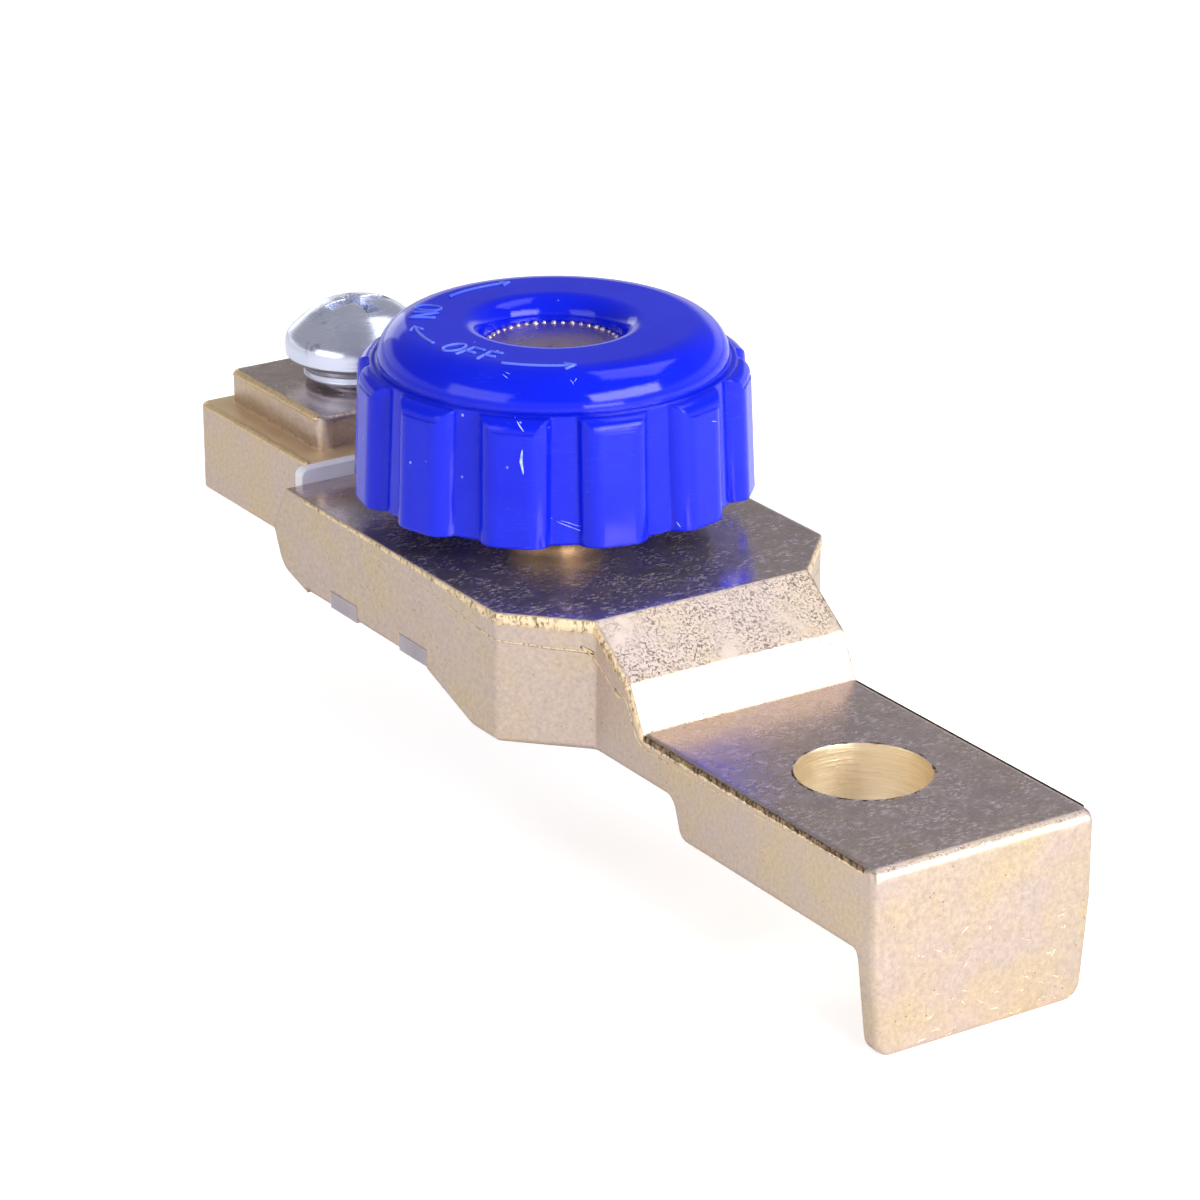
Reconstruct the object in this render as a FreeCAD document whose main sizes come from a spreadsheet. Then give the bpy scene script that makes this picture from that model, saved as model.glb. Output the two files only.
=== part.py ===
import FreeCAD, Part
import math
import os
import Sketcher

# Battery cut-off switch with a screw-down knob
# Millimetres. The origin is on the axis of the battery bolt hole, at the underside of the tab.
# +X runs along the switch towards the folded end of the tab, +Z points up, out of the knob.

SIZES = [
    # Battery side casting
    ("tab_width", 20.0),
    ("tab_thickness", 7.0),
    ("tab_reach", 15.0),
    ("bolt_hole_radius", 5.25),
    ("flange_thickness", 2.2),
    ("flange_tip_thickness", 1.9),
    ("flange_drop", 8.1),
    ("flange_taper", 0.7),
    ("flange_corner", 1.5),
    ("flange_edge_round", 0.5),
    ("tab_end_round", 0.9),
    ("step_back", 9.8),
    ("step_run", 1.1),
    ("neck_rise", 3.1),
    ("slope_foot_back", 14.7),
    ("slope_crease_run", 1.8),
    ("slope_crease_rise", 3.5),
    ("slope_top_run", 5.0),
    ("body_top", 14.0),
    ("body_width", 30.9),
    ("nose_chamfer_run", 5.65),
    ("knob_run", 21.5),
    ("ramp_lead", 12.0),
    ("ramp_run", 8.0),
    ("end_run", 17.0),
    ("wall_thickness", 1.5),
    ("heel_round", 2.4),
    ("cheek_reach", 2.3),
    ("cheek_rise", 4.3),
    ("cheek_heel_reach", 0.9),
    ("cheek_heel_rise", 1.1),
    ("cheek_lap", 3.2),
    ("foot_round", 1.2),
    ("casting_edge_round", 0.7),
    ("rim_round", 0.35),
    # Room inside the battery side casting
    ("recess_lead", 7.0),
    ("recess_shoulder", 1.2),
    ("plate_seat", 7.4),
    ("side_room", 5.95),
    # Hollows under the nose
    ("core_side_wall", 3.65),
    ("core_front_wall", 3.9),
    ("core_rear_wall", 3.6),
    ("core_rib", 1.6),
    ("core_depth", 6.0),
    # Cable side casting
    ("bar_inset", 1.35),
    ("bar_length", 19.2),
    ("bar_top", 15.2),
    ("bar_corner_round", 0.9),
    ("boss_side_ledge", 2.4),
    ("boss_height", 2.9),
    ("boss_front_ledge", 2.2),
    ("boss_rear_ledge", 1.4),
    ("boss_corner_round", 0.8),
    ("boss_window_wall", 1.2),
    ("boss_window_lintel", 0.6),
    ("boss_window_depth", 0.9),
    ("tongue_thickness", 1.8),
    ("tongue_end_gap", 1.4),
    # White insulator
    ("flange_gap", 1.2),
    ("liner_wall", 1.25),
    ("liner_roof", 0.65),
    ("liner_eye_gap", 0.9),
    ("plate_thickness", 1.6),
    ("plate_heel_round", 1.2),
    ("peg_radius", 1.6),
    ("peg_lead", 5.0),
    ("lug_length", 4.2),
    ("lug_set_down", 0.2),
    ("front_lug_lead", 3.2),
    ("rear_lug_run", 7.8),
    # Screws that hold the insulator plate
    ("plate_screw_radius", 1.0),
    ("plate_screw_head_radius", 1.9),
    ("plate_screw_length", 5.8),
    ("plate_screw_margin", 0.2),
    ("plate_screw_front_run", 4.2),
    ("plate_screw_rear_lead", 3.4),
    ("plate_screw_cross_reach", 1.15),
    ("plate_screw_cross_width", 0.5),
    # Knob and contact screw
    ("knob_foot", 17.05),
    ("rib_count", 12),
    ("first_rib_turn", 15.8),
    ("valley_radius", 15.25),
    ("skirt_draft", 0.47),
    ("rib_depth", 1.1),
    ("rib_width", 5.85),
    ("rib_corner", 1.8),
    ("rib_set_down", 0.15),
    ("rib_crown", 1.0),
    ("dome_ledge", 0.55),
    ("dome_height", 10.5),
    ("dome_rise", 3.05),
    ("throat_grip", 0.4),
    ("throat_land", 0.25),
    ("throat_floor", 1.5),
    ("skirt_wall", 2.3),
    ("hub_radius", 7.2),
    ("hub_draft", 0.6),
    ("hub_lift", 0.6),
    ("web_count", 8),
    ("web_thickness", 1.6),
    ("contact_thread_radius", 4.0),
    ("contact_head_radius", 6.0),
    ("contact_head_depth", 2.0),
    ("contact_head_height", 3.0),
    ("knurl_count", 44),
    ("knurl_depth", 0.4),
    # Swivelling contact pad
    ("pad_radius", 3.2),
    ("pad_thickness", 0.9),
    ("pad_stem_radius", 1.5),
    ("pad_stem_length", 2.6),
    # Terminal screw and its washer
    ("terminal_offset", 1.9),
    ("terminal_thread_radius", 2.95),
    ("terminal_gap", 0.5),
    ("washer_thickness", 1.6),
    ("washer_radius", 4.7),
    ("washer_slot", 0.9),
    ("terminal_head_radius", 6.25),
    ("terminal_head_rim", 1.9),
    ("terminal_head_height", 4.8),
    ("terminal_crown_radius", 3.1),
    ("terminal_crown_round", 4.3),
    ("terminal_rim_round", 1.4),
    ("terminal_screw_length", 14.0),
    ("cross_reach", 3.3),
    ("cross_width", 1.5),
    ("cross_depth", 2.4),
    ("cross_floor_reach", 1.5),
    ("cross_floor_width", 0.9),
    # Clearances
    ("thread_clearance", 0.05),
    ("fit_clearance", 0.05),
    ("loose_clearance", 0.12),
    # How far a cutting outline reaches past what it cuts
    ("overrun", 1.0),
]

TOP_AXIS = FreeCAD.Vector(0, 0, 1)

doc = FreeCAD.newDocument("battery_cut_off_switch")
sheet = doc.addObject("Spreadsheet::Sheet", "Sizes")
for row, (name, number) in enumerate(SIZES, start=1):
    sheet.set("A%d" % row, name)
    sheet.set("B%d" % row, str(number))
    sheet.setAlias("B%d" % row, name)
doc.recompute()

size = dict(SIZES)

# Places that several pieces share, written once as expressions
SLOPE_CREASE = "(Sizes.slope_foot_back + Sizes.slope_crease_run)"
SLOPE_TOP = "(Sizes.slope_foot_back + Sizes.slope_crease_run + Sizes.slope_top_run)"
KNOB_BACK = "(%s + Sizes.knob_run)" % SLOPE_TOP
BODY_END = "(%s + Sizes.end_run)" % KNOB_BACK
RECESS_END = "(%s - Sizes.recess_lead)" % KNOB_BACK
CHANNEL_END = "(%s + Sizes.recess_shoulder)" % RECESS_END
TONGUE_END = "(%s + Sizes.tongue_end_gap)" % CHANNEL_END
INNER_HALF = "(Sizes.body_width / 2 - Sizes.wall_thickness)"
TONGUE_HALF = "(%s - Sizes.side_room)" % INNER_HALF
CHANNEL_HALF = ("(%s + Sizes.loose_clearance + Sizes.liner_wall + Sizes.fit_clearance)"
                % TONGUE_HALF)
WALL_FOOT = "(Sizes.plate_seat - Sizes.plate_thickness)"
TONGUE_TOP = "(Sizes.plate_seat + Sizes.tongue_thickness)"
CEILING = "(%s + Sizes.fit_clearance + Sizes.liner_roof)" % TONGUE_TOP
LUG_TOP = "(Sizes.plate_seat - Sizes.lug_set_down)"
LUG_BACKS = (
    "(%s - Sizes.front_lug_lead)" % KNOB_BACK,
    "(%s + Sizes.rear_lug_run)" % KNOB_BACK,
)
PEG_BACK = "(%s - Sizes.peg_lead)" % BODY_END
PLATE_SCREW_SIDE = ("(%s - Sizes.plate_screw_margin - Sizes.plate_screw_head_radius"
                    " - Sizes.loose_clearance - Sizes.fit_clearance)" % INNER_HALF)
PLATE_SCREW_BACKS = {
    "front": "(%s + Sizes.plate_screw_front_run)" % RECESS_END,
    "rear": "(%s - Sizes.plate_screw_rear_lead)" % BODY_END,
}
BAR_FRONT = "(%s + Sizes.flange_gap)" % BODY_END
BAR_HALF = "(%s - Sizes.bar_inset)" % INNER_HALF
BOSS_FRONT = "(%s + Sizes.boss_front_ledge)" % BAR_FRONT
BOSS_HALF = "(%s - Sizes.boss_side_ledge)" % BAR_HALF
BOSS_LENGTH = "(Sizes.bar_length - Sizes.boss_front_ledge - Sizes.boss_rear_ledge)"
BOSS_TOP = "(Sizes.bar_top + Sizes.boss_height)"
TERMINAL_BACK = "(%s + %s / 2)" % (BOSS_FRONT, BOSS_LENGTH)
KNOB_HEIGHT = "(Sizes.dome_height + Sizes.dome_rise)"
HEAD_SEAT = "(%s - Sizes.contact_head_depth - Sizes.contact_head_height)" % KNOB_HEIGHT
CONTACT_HEIGHT = "(Sizes.knob_foot - Sizes.plate_seat - Sizes.tongue_thickness)"


def value(expression):
    """The number that an expression of the sheet gives, for starting places and edge picks."""
    return float(sheet.evalExpression(expression))


def new_body(label):
    body = doc.addObject("PartDesign::Body", label)
    body.Label = label
    return body


def new_sketch(body, name, role, offset=None):
    """A sketch on one of the body's own origin planes, moved along its normal by an expression."""
    plane = [item for item in body.Origin.OriginFeatures if item.Role == role][0]
    sketch = body.newObject("Sketcher::SketchObject", name)
    sketch.AttachmentSupport = [(plane, "")]
    sketch.MapMode = "FlatFace"
    if offset is not None:
        sketch.setExpression(".AttachmentOffset.Base.z", offset)
    return sketch


def pin_point(sketch, geometry, place, across, up):
    """Ties a point of the sketch to expressions for its two coordinates."""
    for kind, expression in (("DistanceX", across), ("DistanceY", up)):
        number = sketch.addConstraint(
            Sketcher.Constraint(kind, -1, 1, geometry, place, value(expression)))
        sketch.setExpression("Constraints[%d]" % number, expression)


def circle(sketch, across, up, radius):
    centre = FreeCAD.Vector(value(across), value(up), 0)
    index = sketch.addGeometry(Part.Circle(centre, TOP_AXIS, value(radius)), False)
    number = sketch.addConstraint(Sketcher.Constraint("Radius", index, value(radius)))
    sketch.setExpression("Constraints[%d]" % number, radius)
    pin_point(sketch, index, 3, across, up)


def outline(sketch, corners):
    """A closed outline. A corner is (across, up) or (across, up, radius), all expressions."""
    count = len(corners)
    points = [FreeCAD.Vector(value(item[0]), value(item[1]), 0) for item in corners]
    radii = [value(item[2]) if len(item) > 2 else 0.0 for item in corners]
    entries = []
    exits = []
    for index in range(count):
        back = (points[index - 1] - points[index]).normalize()
        ahead = (points[(index + 1) % count] - points[index]).normalize()
        half = back.getAngle(ahead) / 2
        cut = radii[index] / math.tan(half) if radii[index] > 0 else 0.0
        entries.append(points[index] + back * cut)
        exits.append(points[index] + ahead * cut)
    lines = []
    for index in range(count):
        line = Part.LineSegment(exits[index], entries[(index + 1) % count])
        lines.append(sketch.addGeometry(line, False))
    for index in range(count):
        before = lines[index - 1]
        after = lines[index]
        if radii[index] == 0:
            sketch.addConstraint(Sketcher.Constraint("Coincident", before, 2, after, 1))
            pin_point(sketch, after, 1, corners[index][0], corners[index][1])
            continue
        bend = (entries[index] - points[index]).normalize()
        bend = bend + (exits[index] - points[index]).normalize()
        bend = bend.normalize()
        half = (entries[index] - points[index]).getAngle(exits[index] - points[index]) / 2
        centre = points[index] + bend * (radii[index] / math.sin(half))
        middle = centre - bend * radii[index]
        arc = sketch.addGeometry(Part.Arc(entries[index], middle, exits[index]), False)
        turn = (entries[index] - centre).cross(exits[index] - centre).z
        start, end = (1, 2) if turn > 0 else (2, 1)
        sketch.addConstraint(Sketcher.Constraint("Tangent", before, 2, arc, start))
        sketch.addConstraint(Sketcher.Constraint("Tangent", arc, end, after, 1))
        corner = sketch.addGeometry(Part.Point(points[index]), True)
        sketch.addConstraint(Sketcher.Constraint("PointOnObject", corner, 1, before))
        sketch.addConstraint(Sketcher.Constraint("PointOnObject", corner, 1, after))
        pin_point(sketch, corner, 1, corners[index][0], corners[index][1])
        number = sketch.addConstraint(Sketcher.Constraint("Radius", arc, radii[index]))
        sketch.setExpression("Constraints[%d]" % number, corners[index][2])


def rectangle(sketch, left, right, low, high):
    outline(sketch, [(left, low), (right, low), (right, high), (left, high)])


def pad(body, name, sketch, length, symmetric=False, reverse=False):
    feature = body.newObject("PartDesign::Pad", name)
    feature.Profile = (sketch, [""])
    feature.SideType = "Symmetric" if symmetric else "One side"
    feature.Reversed = reverse
    feature.setExpression("Length", length)
    doc.recompute()
    return feature


def pocket(body, name, sketch, length=None, symmetric=False, reverse=False):
    """Cuts a blind pocket, or right through where no length is given, and proves that it cut."""
    before = body.Shape.Volume
    feature = body.newObject("PartDesign::Pocket", name)
    feature.Profile = (sketch, [""])
    feature.SideType = "Symmetric" if symmetric else "One side"
    feature.Reversed = reverse
    if length is None:
        feature.Type = "ThroughAll"
    else:
        feature.setExpression("Length", length)
    doc.recompute()
    if not body.Shape.Volume < before:
        raise RuntimeError("%s cut nothing" % name)
    return feature


def turned(body, name, sketch, cut=False):
    """A full turn of a profile about the sketch's upright axis, added or cut away."""
    before = body.Shape.Volume if cut else 0.0
    feature = body.newObject("PartDesign::Groove" if cut else "PartDesign::Revolution", name)
    feature.Profile = (sketch, [""])
    feature.ReferenceAxis = (sketch, ["V_Axis"])
    feature.Angle = 360.0
    doc.recompute()
    if cut and not body.Shape.Volume < before:
        raise RuntimeError("%s cut nothing" % name)
    return feature


def edges_where(feature, wanted):
    return ["Edge%d" % number for number, edge in enumerate(feature.Shape.Edges, start=1)
            if wanted(edge)]


def fillet(body, name, feature, wanted, radius):
    names = edges_where(feature, wanted)
    if not names:
        raise RuntimeError("%s found no edge" % name)
    rounded = body.newObject("PartDesign::Fillet", name)
    rounded.Base = (feature, names)
    rounded.setExpression("Radius", radius)
    doc.recompute()
    return rounded


def polar(body, name, feature, count):
    """Repeats a feature evenly about the body's upright axis."""
    axis = [item for item in body.Origin.OriginFeatures if item.Role == "Z_Axis"][0]
    pattern = body.newObject("PartDesign::PolarPattern", name)
    pattern.Originals = [feature]
    pattern.Axis = (axis, [""])
    pattern.Angle = 360.0
    pattern.setExpression("Occurrences", count)
    body.Tip = pattern
    doc.recompute()
    return pattern


def near(first, second):
    return abs(first - second) < 1e-4


def upright(edge):
    """True for a straight edge that runs along Z."""
    if len(edge.Vertexes) != 2:
        return False
    first, second = (vertex.Point for vertex in edge.Vertexes)
    return near(first.x, second.x) and near(first.y, second.y) and not near(first.z, second.z)


# Battery side casting: tab with a folded end, two-step slope, and a hollow body
def battery_side_casting():
    body = new_body("battery_side_casting")
    side = new_sketch(body, "side_view", "XZ_Plane")
    outline(side, [
        ("Sizes.tab_reach", "-Sizes.flange_drop"),
        ("Sizes.tab_reach", "Sizes.tab_thickness", "Sizes.tab_end_round"),
        ("-Sizes.slope_foot_back", "Sizes.tab_thickness"),
        ("-" + SLOPE_CREASE, "Sizes.tab_thickness + Sizes.slope_crease_rise"),
        ("-" + SLOPE_TOP, "Sizes.body_top"),
        ("-" + BODY_END, "Sizes.body_top"),
        ("-" + BODY_END, WALL_FOOT, "Sizes.heel_round"),
        ("-(%s - Sizes.ramp_lead + Sizes.ramp_run)" % KNOB_BACK, WALL_FOOT,
         "2 * Sizes.foot_round"),
        ("-(%s - Sizes.ramp_lead)" % KNOB_BACK, "Sizes.neck_rise", "2 * Sizes.foot_round"),
        ("-(Sizes.step_back + Sizes.step_run)", "Sizes.neck_rise", "Sizes.foot_round"),
        ("-Sizes.step_back", "0", "Sizes.foot_round"),
        ("Sizes.tab_reach - Sizes.flange_thickness", "0", "Sizes.flange_edge_round"),
        ("Sizes.tab_reach - Sizes.flange_tip_thickness", "-Sizes.flange_drop"),
    ])
    pad(body, "blank", side, "Sizes.body_width", symmetric=True)

    # The nose narrows to the tab in plan
    plan = new_sketch(body, "plan_trim", "XY_Plane")
    for sign in ("", "-"):
        outline(plan, [
            ("-(%s + Sizes.nose_chamfer_run)" % SLOPE_TOP, sign + "Sizes.body_width / 2"),
            ("-" + SLOPE_TOP, sign + "Sizes.tab_width / 2", "Sizes.casting_edge_round"),
            ("Sizes.tab_reach + Sizes.overrun", sign + "Sizes.tab_width / 2"),
            ("Sizes.tab_reach + Sizes.overrun", sign + "(Sizes.body_width / 2 + Sizes.overrun)"),
            ("-(%s + Sizes.nose_chamfer_run)" % SLOPE_TOP,
             sign + "(Sizes.body_width / 2 + Sizes.overrun)"),
        ])
    pocket(body, "nose_and_tab_sides", plan,
           "2 * (Sizes.body_top + Sizes.flange_drop)", symmetric=True)

    # The folded end tapers a little and has rounded corners
    end = new_sketch(body, "flange_front", "YZ_Plane", "Sizes.tab_reach")
    outline(end, [
        ("Sizes.tab_width / 2 + Sizes.overrun", "0"),
        ("Sizes.tab_width / 2", "0"),
        ("Sizes.tab_width / 2 - Sizes.flange_taper", "-Sizes.flange_drop",
         "Sizes.flange_corner"),
        ("-(Sizes.tab_width / 2 - Sizes.flange_taper)", "-Sizes.flange_drop",
         "Sizes.flange_corner"),
        ("-Sizes.tab_width / 2", "0"),
        ("-(Sizes.tab_width / 2 + Sizes.overrun)", "0"),
        ("-(Sizes.tab_width / 2 + Sizes.overrun)", "-(Sizes.flange_drop + Sizes.overrun)"),
        ("Sizes.tab_width / 2 + Sizes.overrun", "-(Sizes.flange_drop + Sizes.overrun)"),
    ])
    trimmed = pocket(body, "flange_outline", end, "Sizes.tab_reach", symmetric=True)

    half_body = value("Sizes.body_width / 2")
    end_x = value("-" + BODY_END)
    nose = fillet(body, "nose_corners", trimmed,
                  lambda edge: upright(edge)
                  and near(abs(edge.Vertexes[0].Point.y), half_body)
                  and not near(edge.Vertexes[0].Point.x, end_x),
                  "Sizes.casting_edge_round")
    low = value("-Sizes.flange_drop")
    fillet(body, "flange_tip", nose,
           lambda edge: edge.BoundBox.ZMax < -value("Sizes.flange_edge_round")
           and edge.BoundBox.XLength < value("Sizes.flange_thickness") / 2
           and near(edge.BoundBox.ZMin, low),
           "Sizes.flange_edge_round")

    # Cheeks carry the side walls past the end, outside the white liner
    for name, sign, reverse in (("right_cheek", "", False), ("left_cheek", "-", True)):
        cheek = new_sketch(body, name + "_view", "XZ_Plane", sign + INNER_HALF)
        outline(cheek, [
            ("-(%s - Sizes.cheek_lap)" % BODY_END, "Sizes.body_top"),
            ("-" + BODY_END, "Sizes.body_top"),
            ("-(%s + Sizes.cheek_reach)" % BODY_END, WALL_FOOT + " + Sizes.cheek_rise",
             "Sizes.foot_round"),
            ("-(%s + Sizes.cheek_heel_reach)" % BODY_END,
             WALL_FOOT + " + Sizes.cheek_heel_rise", "Sizes.heel_round"),
            ("-(%s - Sizes.cheek_lap)" % BODY_END, WALL_FOOT),
        ])
        pad(body, name, cheek, "Sizes.wall_thickness", reverse=reverse)

    # The plate recess and the tongue channel open at the far end
    past_end = "-(%s + Sizes.cheek_reach + Sizes.overrun)" % BODY_END
    recess = new_sketch(body, "plate_recess_plan", "XY_Plane")
    rectangle(recess, past_end, "-" + RECESS_END, "-" + INNER_HALF, INNER_HALF)
    pocket(body, "plate_recess", recess, "Sizes.plate_seat", reverse=True)
    channel = new_sketch(body, "tongue_channel_plan", "XY_Plane")
    rectangle(channel, past_end, "-" + CHANNEL_END, "-" + CHANNEL_HALF, CHANNEL_HALF)
    pocket(body, "tongue_channel", channel, CEILING, reverse=True)

    # Notches that let the insulator's lugs show at the foot of each side wall
    notch = new_sketch(body, "lug_notches_side", "XZ_Plane")
    for back in LUG_BACKS:
        half = "(Sizes.lug_length / 2 + Sizes.fit_clearance)"
        rectangle(notch, "-(%s + %s)" % (back, half), "-(%s - %s)" % (back, half),
                  WALL_FOOT + " - Sizes.overrun", LUG_TOP + " + Sizes.fit_clearance")
    pocket(body, "lug_notches", notch, "Sizes.body_width + 2 * Sizes.overrun", symmetric=True)

    # Three hollows under the solid nose
    core = new_sketch(body, "nose_core_plan", "XY_Plane")
    width = "((Sizes.body_width - 2 * Sizes.core_side_wall - 2 * Sizes.core_rib) / 3)"
    front = "-(%s + Sizes.core_front_wall)" % SLOPE_TOP
    rear = "-(%s - Sizes.core_rear_wall)" % RECESS_END
    for place in (-1, 0, 1):
        middle = "(%d * (%s + Sizes.core_rib))" % (place, width)
        inner = "(%s - %s / 2)" % (middle, width)
        outer = "(%s + %s / 2)" % (middle, width)
        outline(core, [
            (rear, inner, "Sizes.casting_edge_round"),
            (front, inner, "Sizes.casting_edge_round"),
            (front, outer, "Sizes.casting_edge_round"),
            (rear, outer, "Sizes.casting_edge_round"),
        ])
    pocket(body, "nose_cores", core, "Sizes.neck_rise + Sizes.core_depth", reverse=True)

    # The bolt hole, the threaded hole of the contact screw and the pilots of the plate screws
    holes = new_sketch(body, "upright_holes", "XY_Plane")
    circle(holes, "0", "0", "Sizes.bolt_hole_radius")
    circle(holes, "-" + KNOB_BACK, "0",
           "Sizes.contact_thread_radius + Sizes.thread_clearance")
    pocket(body, "through_holes", holes, "Sizes.body_top + Sizes.overrun", reverse=True)
    pilots = new_sketch(body, "pilot_holes_plan", "XY_Plane")
    for back in PLATE_SCREW_BACKS.values():
        for sign in ("", "-"):
            circle(pilots, "-" + back, sign + PLATE_SCREW_SIDE,
                   "Sizes.plate_screw_radius + Sizes.fit_clearance")
    pocket(body, "pilot_holes", pilots,
           WALL_FOOT + " + Sizes.plate_screw_length + Sizes.loose_clearance", reverse=True)
    return body


# Cable side casting: a stepped bar with the terminal boss, and the tongue that goes inside
def cable_side_casting():
    body = new_body("cable_side_casting")
    front = "-" + BAR_FRONT
    back = "-(%s + Sizes.bar_length)" % BAR_FRONT
    bar = new_sketch(body, "bar_plan", "XY_Plane", "Sizes.plate_seat")
    outline(bar, [
        (front, "-" + BAR_HALF),
        (front, BAR_HALF),
        (back, BAR_HALF, "Sizes.bar_corner_round"),
        (back, "-" + BAR_HALF, "Sizes.bar_corner_round"),
    ])
    block = pad(body, "bar", bar, "Sizes.bar_top - Sizes.plate_seat")
    front_x = value(front)
    low = value("Sizes.plate_seat")
    high = value("Sizes.bar_top")
    softened = fillet(body, "bar_edges", block,
                      lambda edge: (near(edge.BoundBox.ZMin, high)
                                    or near(edge.BoundBox.ZMax, low))
                      and not near(edge.BoundBox.XMin, front_x),
                      "Sizes.rim_round")

    boss = new_sketch(body, "boss_plan", "XY_Plane", "Sizes.bar_top")
    boss_front = "-" + BOSS_FRONT
    boss_back = "-(%s + %s)" % (BOSS_FRONT, BOSS_LENGTH)
    outline(boss, [
        (boss_front, "-" + BOSS_HALF, "Sizes.boss_corner_round"),
        (boss_front, BOSS_HALF, "Sizes.boss_corner_round"),
        (boss_back, BOSS_HALF, "Sizes.boss_corner_round"),
        (boss_back, "-" + BOSS_HALF, "Sizes.boss_corner_round"),
    ])
    raised = pad(body, "boss", boss, "Sizes.boss_height")
    top = value(BOSS_TOP)
    fillet(body, "boss_rim", raised, lambda edge: near(edge.BoundBox.ZMin, top),
           "Sizes.rim_round")

    # Shallow window in the boss's inner end
    window = new_sketch(body, "boss_window_view", "YZ_Plane", boss_front)
    rectangle(window, "-(%s - Sizes.boss_window_wall)" % BOSS_HALF,
              "%s - Sizes.boss_window_wall" % BOSS_HALF,
              "Sizes.bar_top", BOSS_TOP + " - Sizes.boss_window_lintel")
    pocket(body, "boss_window", window, "Sizes.boss_window_depth")

    tongue = new_sketch(body, "tongue_plan", "XY_Plane", "Sizes.plate_seat")
    outline(tongue, [
        (front, "-" + TONGUE_HALF),
        ("-" + TONGUE_END, "-" + TONGUE_HALF, "Sizes.bar_corner_round"),
        ("-" + TONGUE_END, TONGUE_HALF, "Sizes.bar_corner_round"),
        (front, TONGUE_HALF),
    ])
    pad(body, "tongue", tongue, "Sizes.tongue_thickness")

    holes = new_sketch(body, "casting_holes", "XY_Plane")
    circle(holes, "-" + TERMINAL_BACK, "-Sizes.terminal_offset",
           "Sizes.terminal_thread_radius + Sizes.thread_clearance")
    for sign in ("", "-"):
        circle(holes, "-" + PEG_BACK, sign + TONGUE_HALF + " / 2",
               "Sizes.peg_radius + Sizes.loose_clearance")
    pocket(body, "threaded_and_peg_holes", holes, BOSS_TOP + " + Sizes.overrun", reverse=True)
    return body


# White liner: a channel over the tongue, with the flange that shows between the castings
def insulator_liner():
    body = new_body("insulator_liner")
    outer = "(%s - Sizes.fit_clearance)" % CHANNEL_HALF
    inner = "(%s + Sizes.loose_clearance)" % TONGUE_HALF
    section = new_sketch(body, "channel_section", "YZ_Plane", "-" + BODY_END)
    outline(section, [
        ("-" + outer, "Sizes.plate_seat"),
        ("-" + inner, "Sizes.plate_seat"),
        ("-" + inner, TONGUE_TOP + " + Sizes.fit_clearance"),
        (inner, TONGUE_TOP + " + Sizes.fit_clearance"),
        (inner, "Sizes.plate_seat"),
        (outer, "Sizes.plate_seat"),
        (outer, CEILING),
        ("-" + outer, CEILING),
    ])
    pad(body, "channel", section, "%s - %s - Sizes.fit_clearance" % (BODY_END, CHANNEL_END))
    wall = new_sketch(body, "end_wall_section", "YZ_Plane",
                      "-(%s + Sizes.fit_clearance)" % CHANNEL_END)
    rectangle(wall, "-" + outer, outer, "Sizes.plate_seat", CEILING)
    pad(body, "end_wall", wall,
        "Sizes.tongue_end_gap - Sizes.loose_clearance - Sizes.fit_clearance", reverse=True)
    flange = new_sketch(body, "flange_section", "YZ_Plane", "-" + BODY_END)
    side = "(%s - Sizes.fit_clearance)" % INNER_HALF
    outline(flange, [
        ("-" + side, "Sizes.plate_seat"),
        ("-" + inner, "Sizes.plate_seat"),
        ("-" + inner, TONGUE_TOP + " + Sizes.fit_clearance"),
        (inner, TONGUE_TOP + " + Sizes.fit_clearance"),
        (inner, "Sizes.plate_seat"),
        (side, "Sizes.plate_seat"),
        (side, "Sizes.bar_top", "Sizes.casting_edge_round"),
        ("-" + side, "Sizes.bar_top", "Sizes.casting_edge_round"),
    ])
    pad(body, "flange", flange, "Sizes.flange_gap", reverse=True)
    eye = new_sketch(body, "eye_plan", "XY_Plane")
    circle(eye, "-" + KNOB_BACK, "0", "Sizes.contact_thread_radius + Sizes.liner_eye_gap")
    pocket(body, "eye", eye, "Sizes.body_top", reverse=True)
    return body


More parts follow.
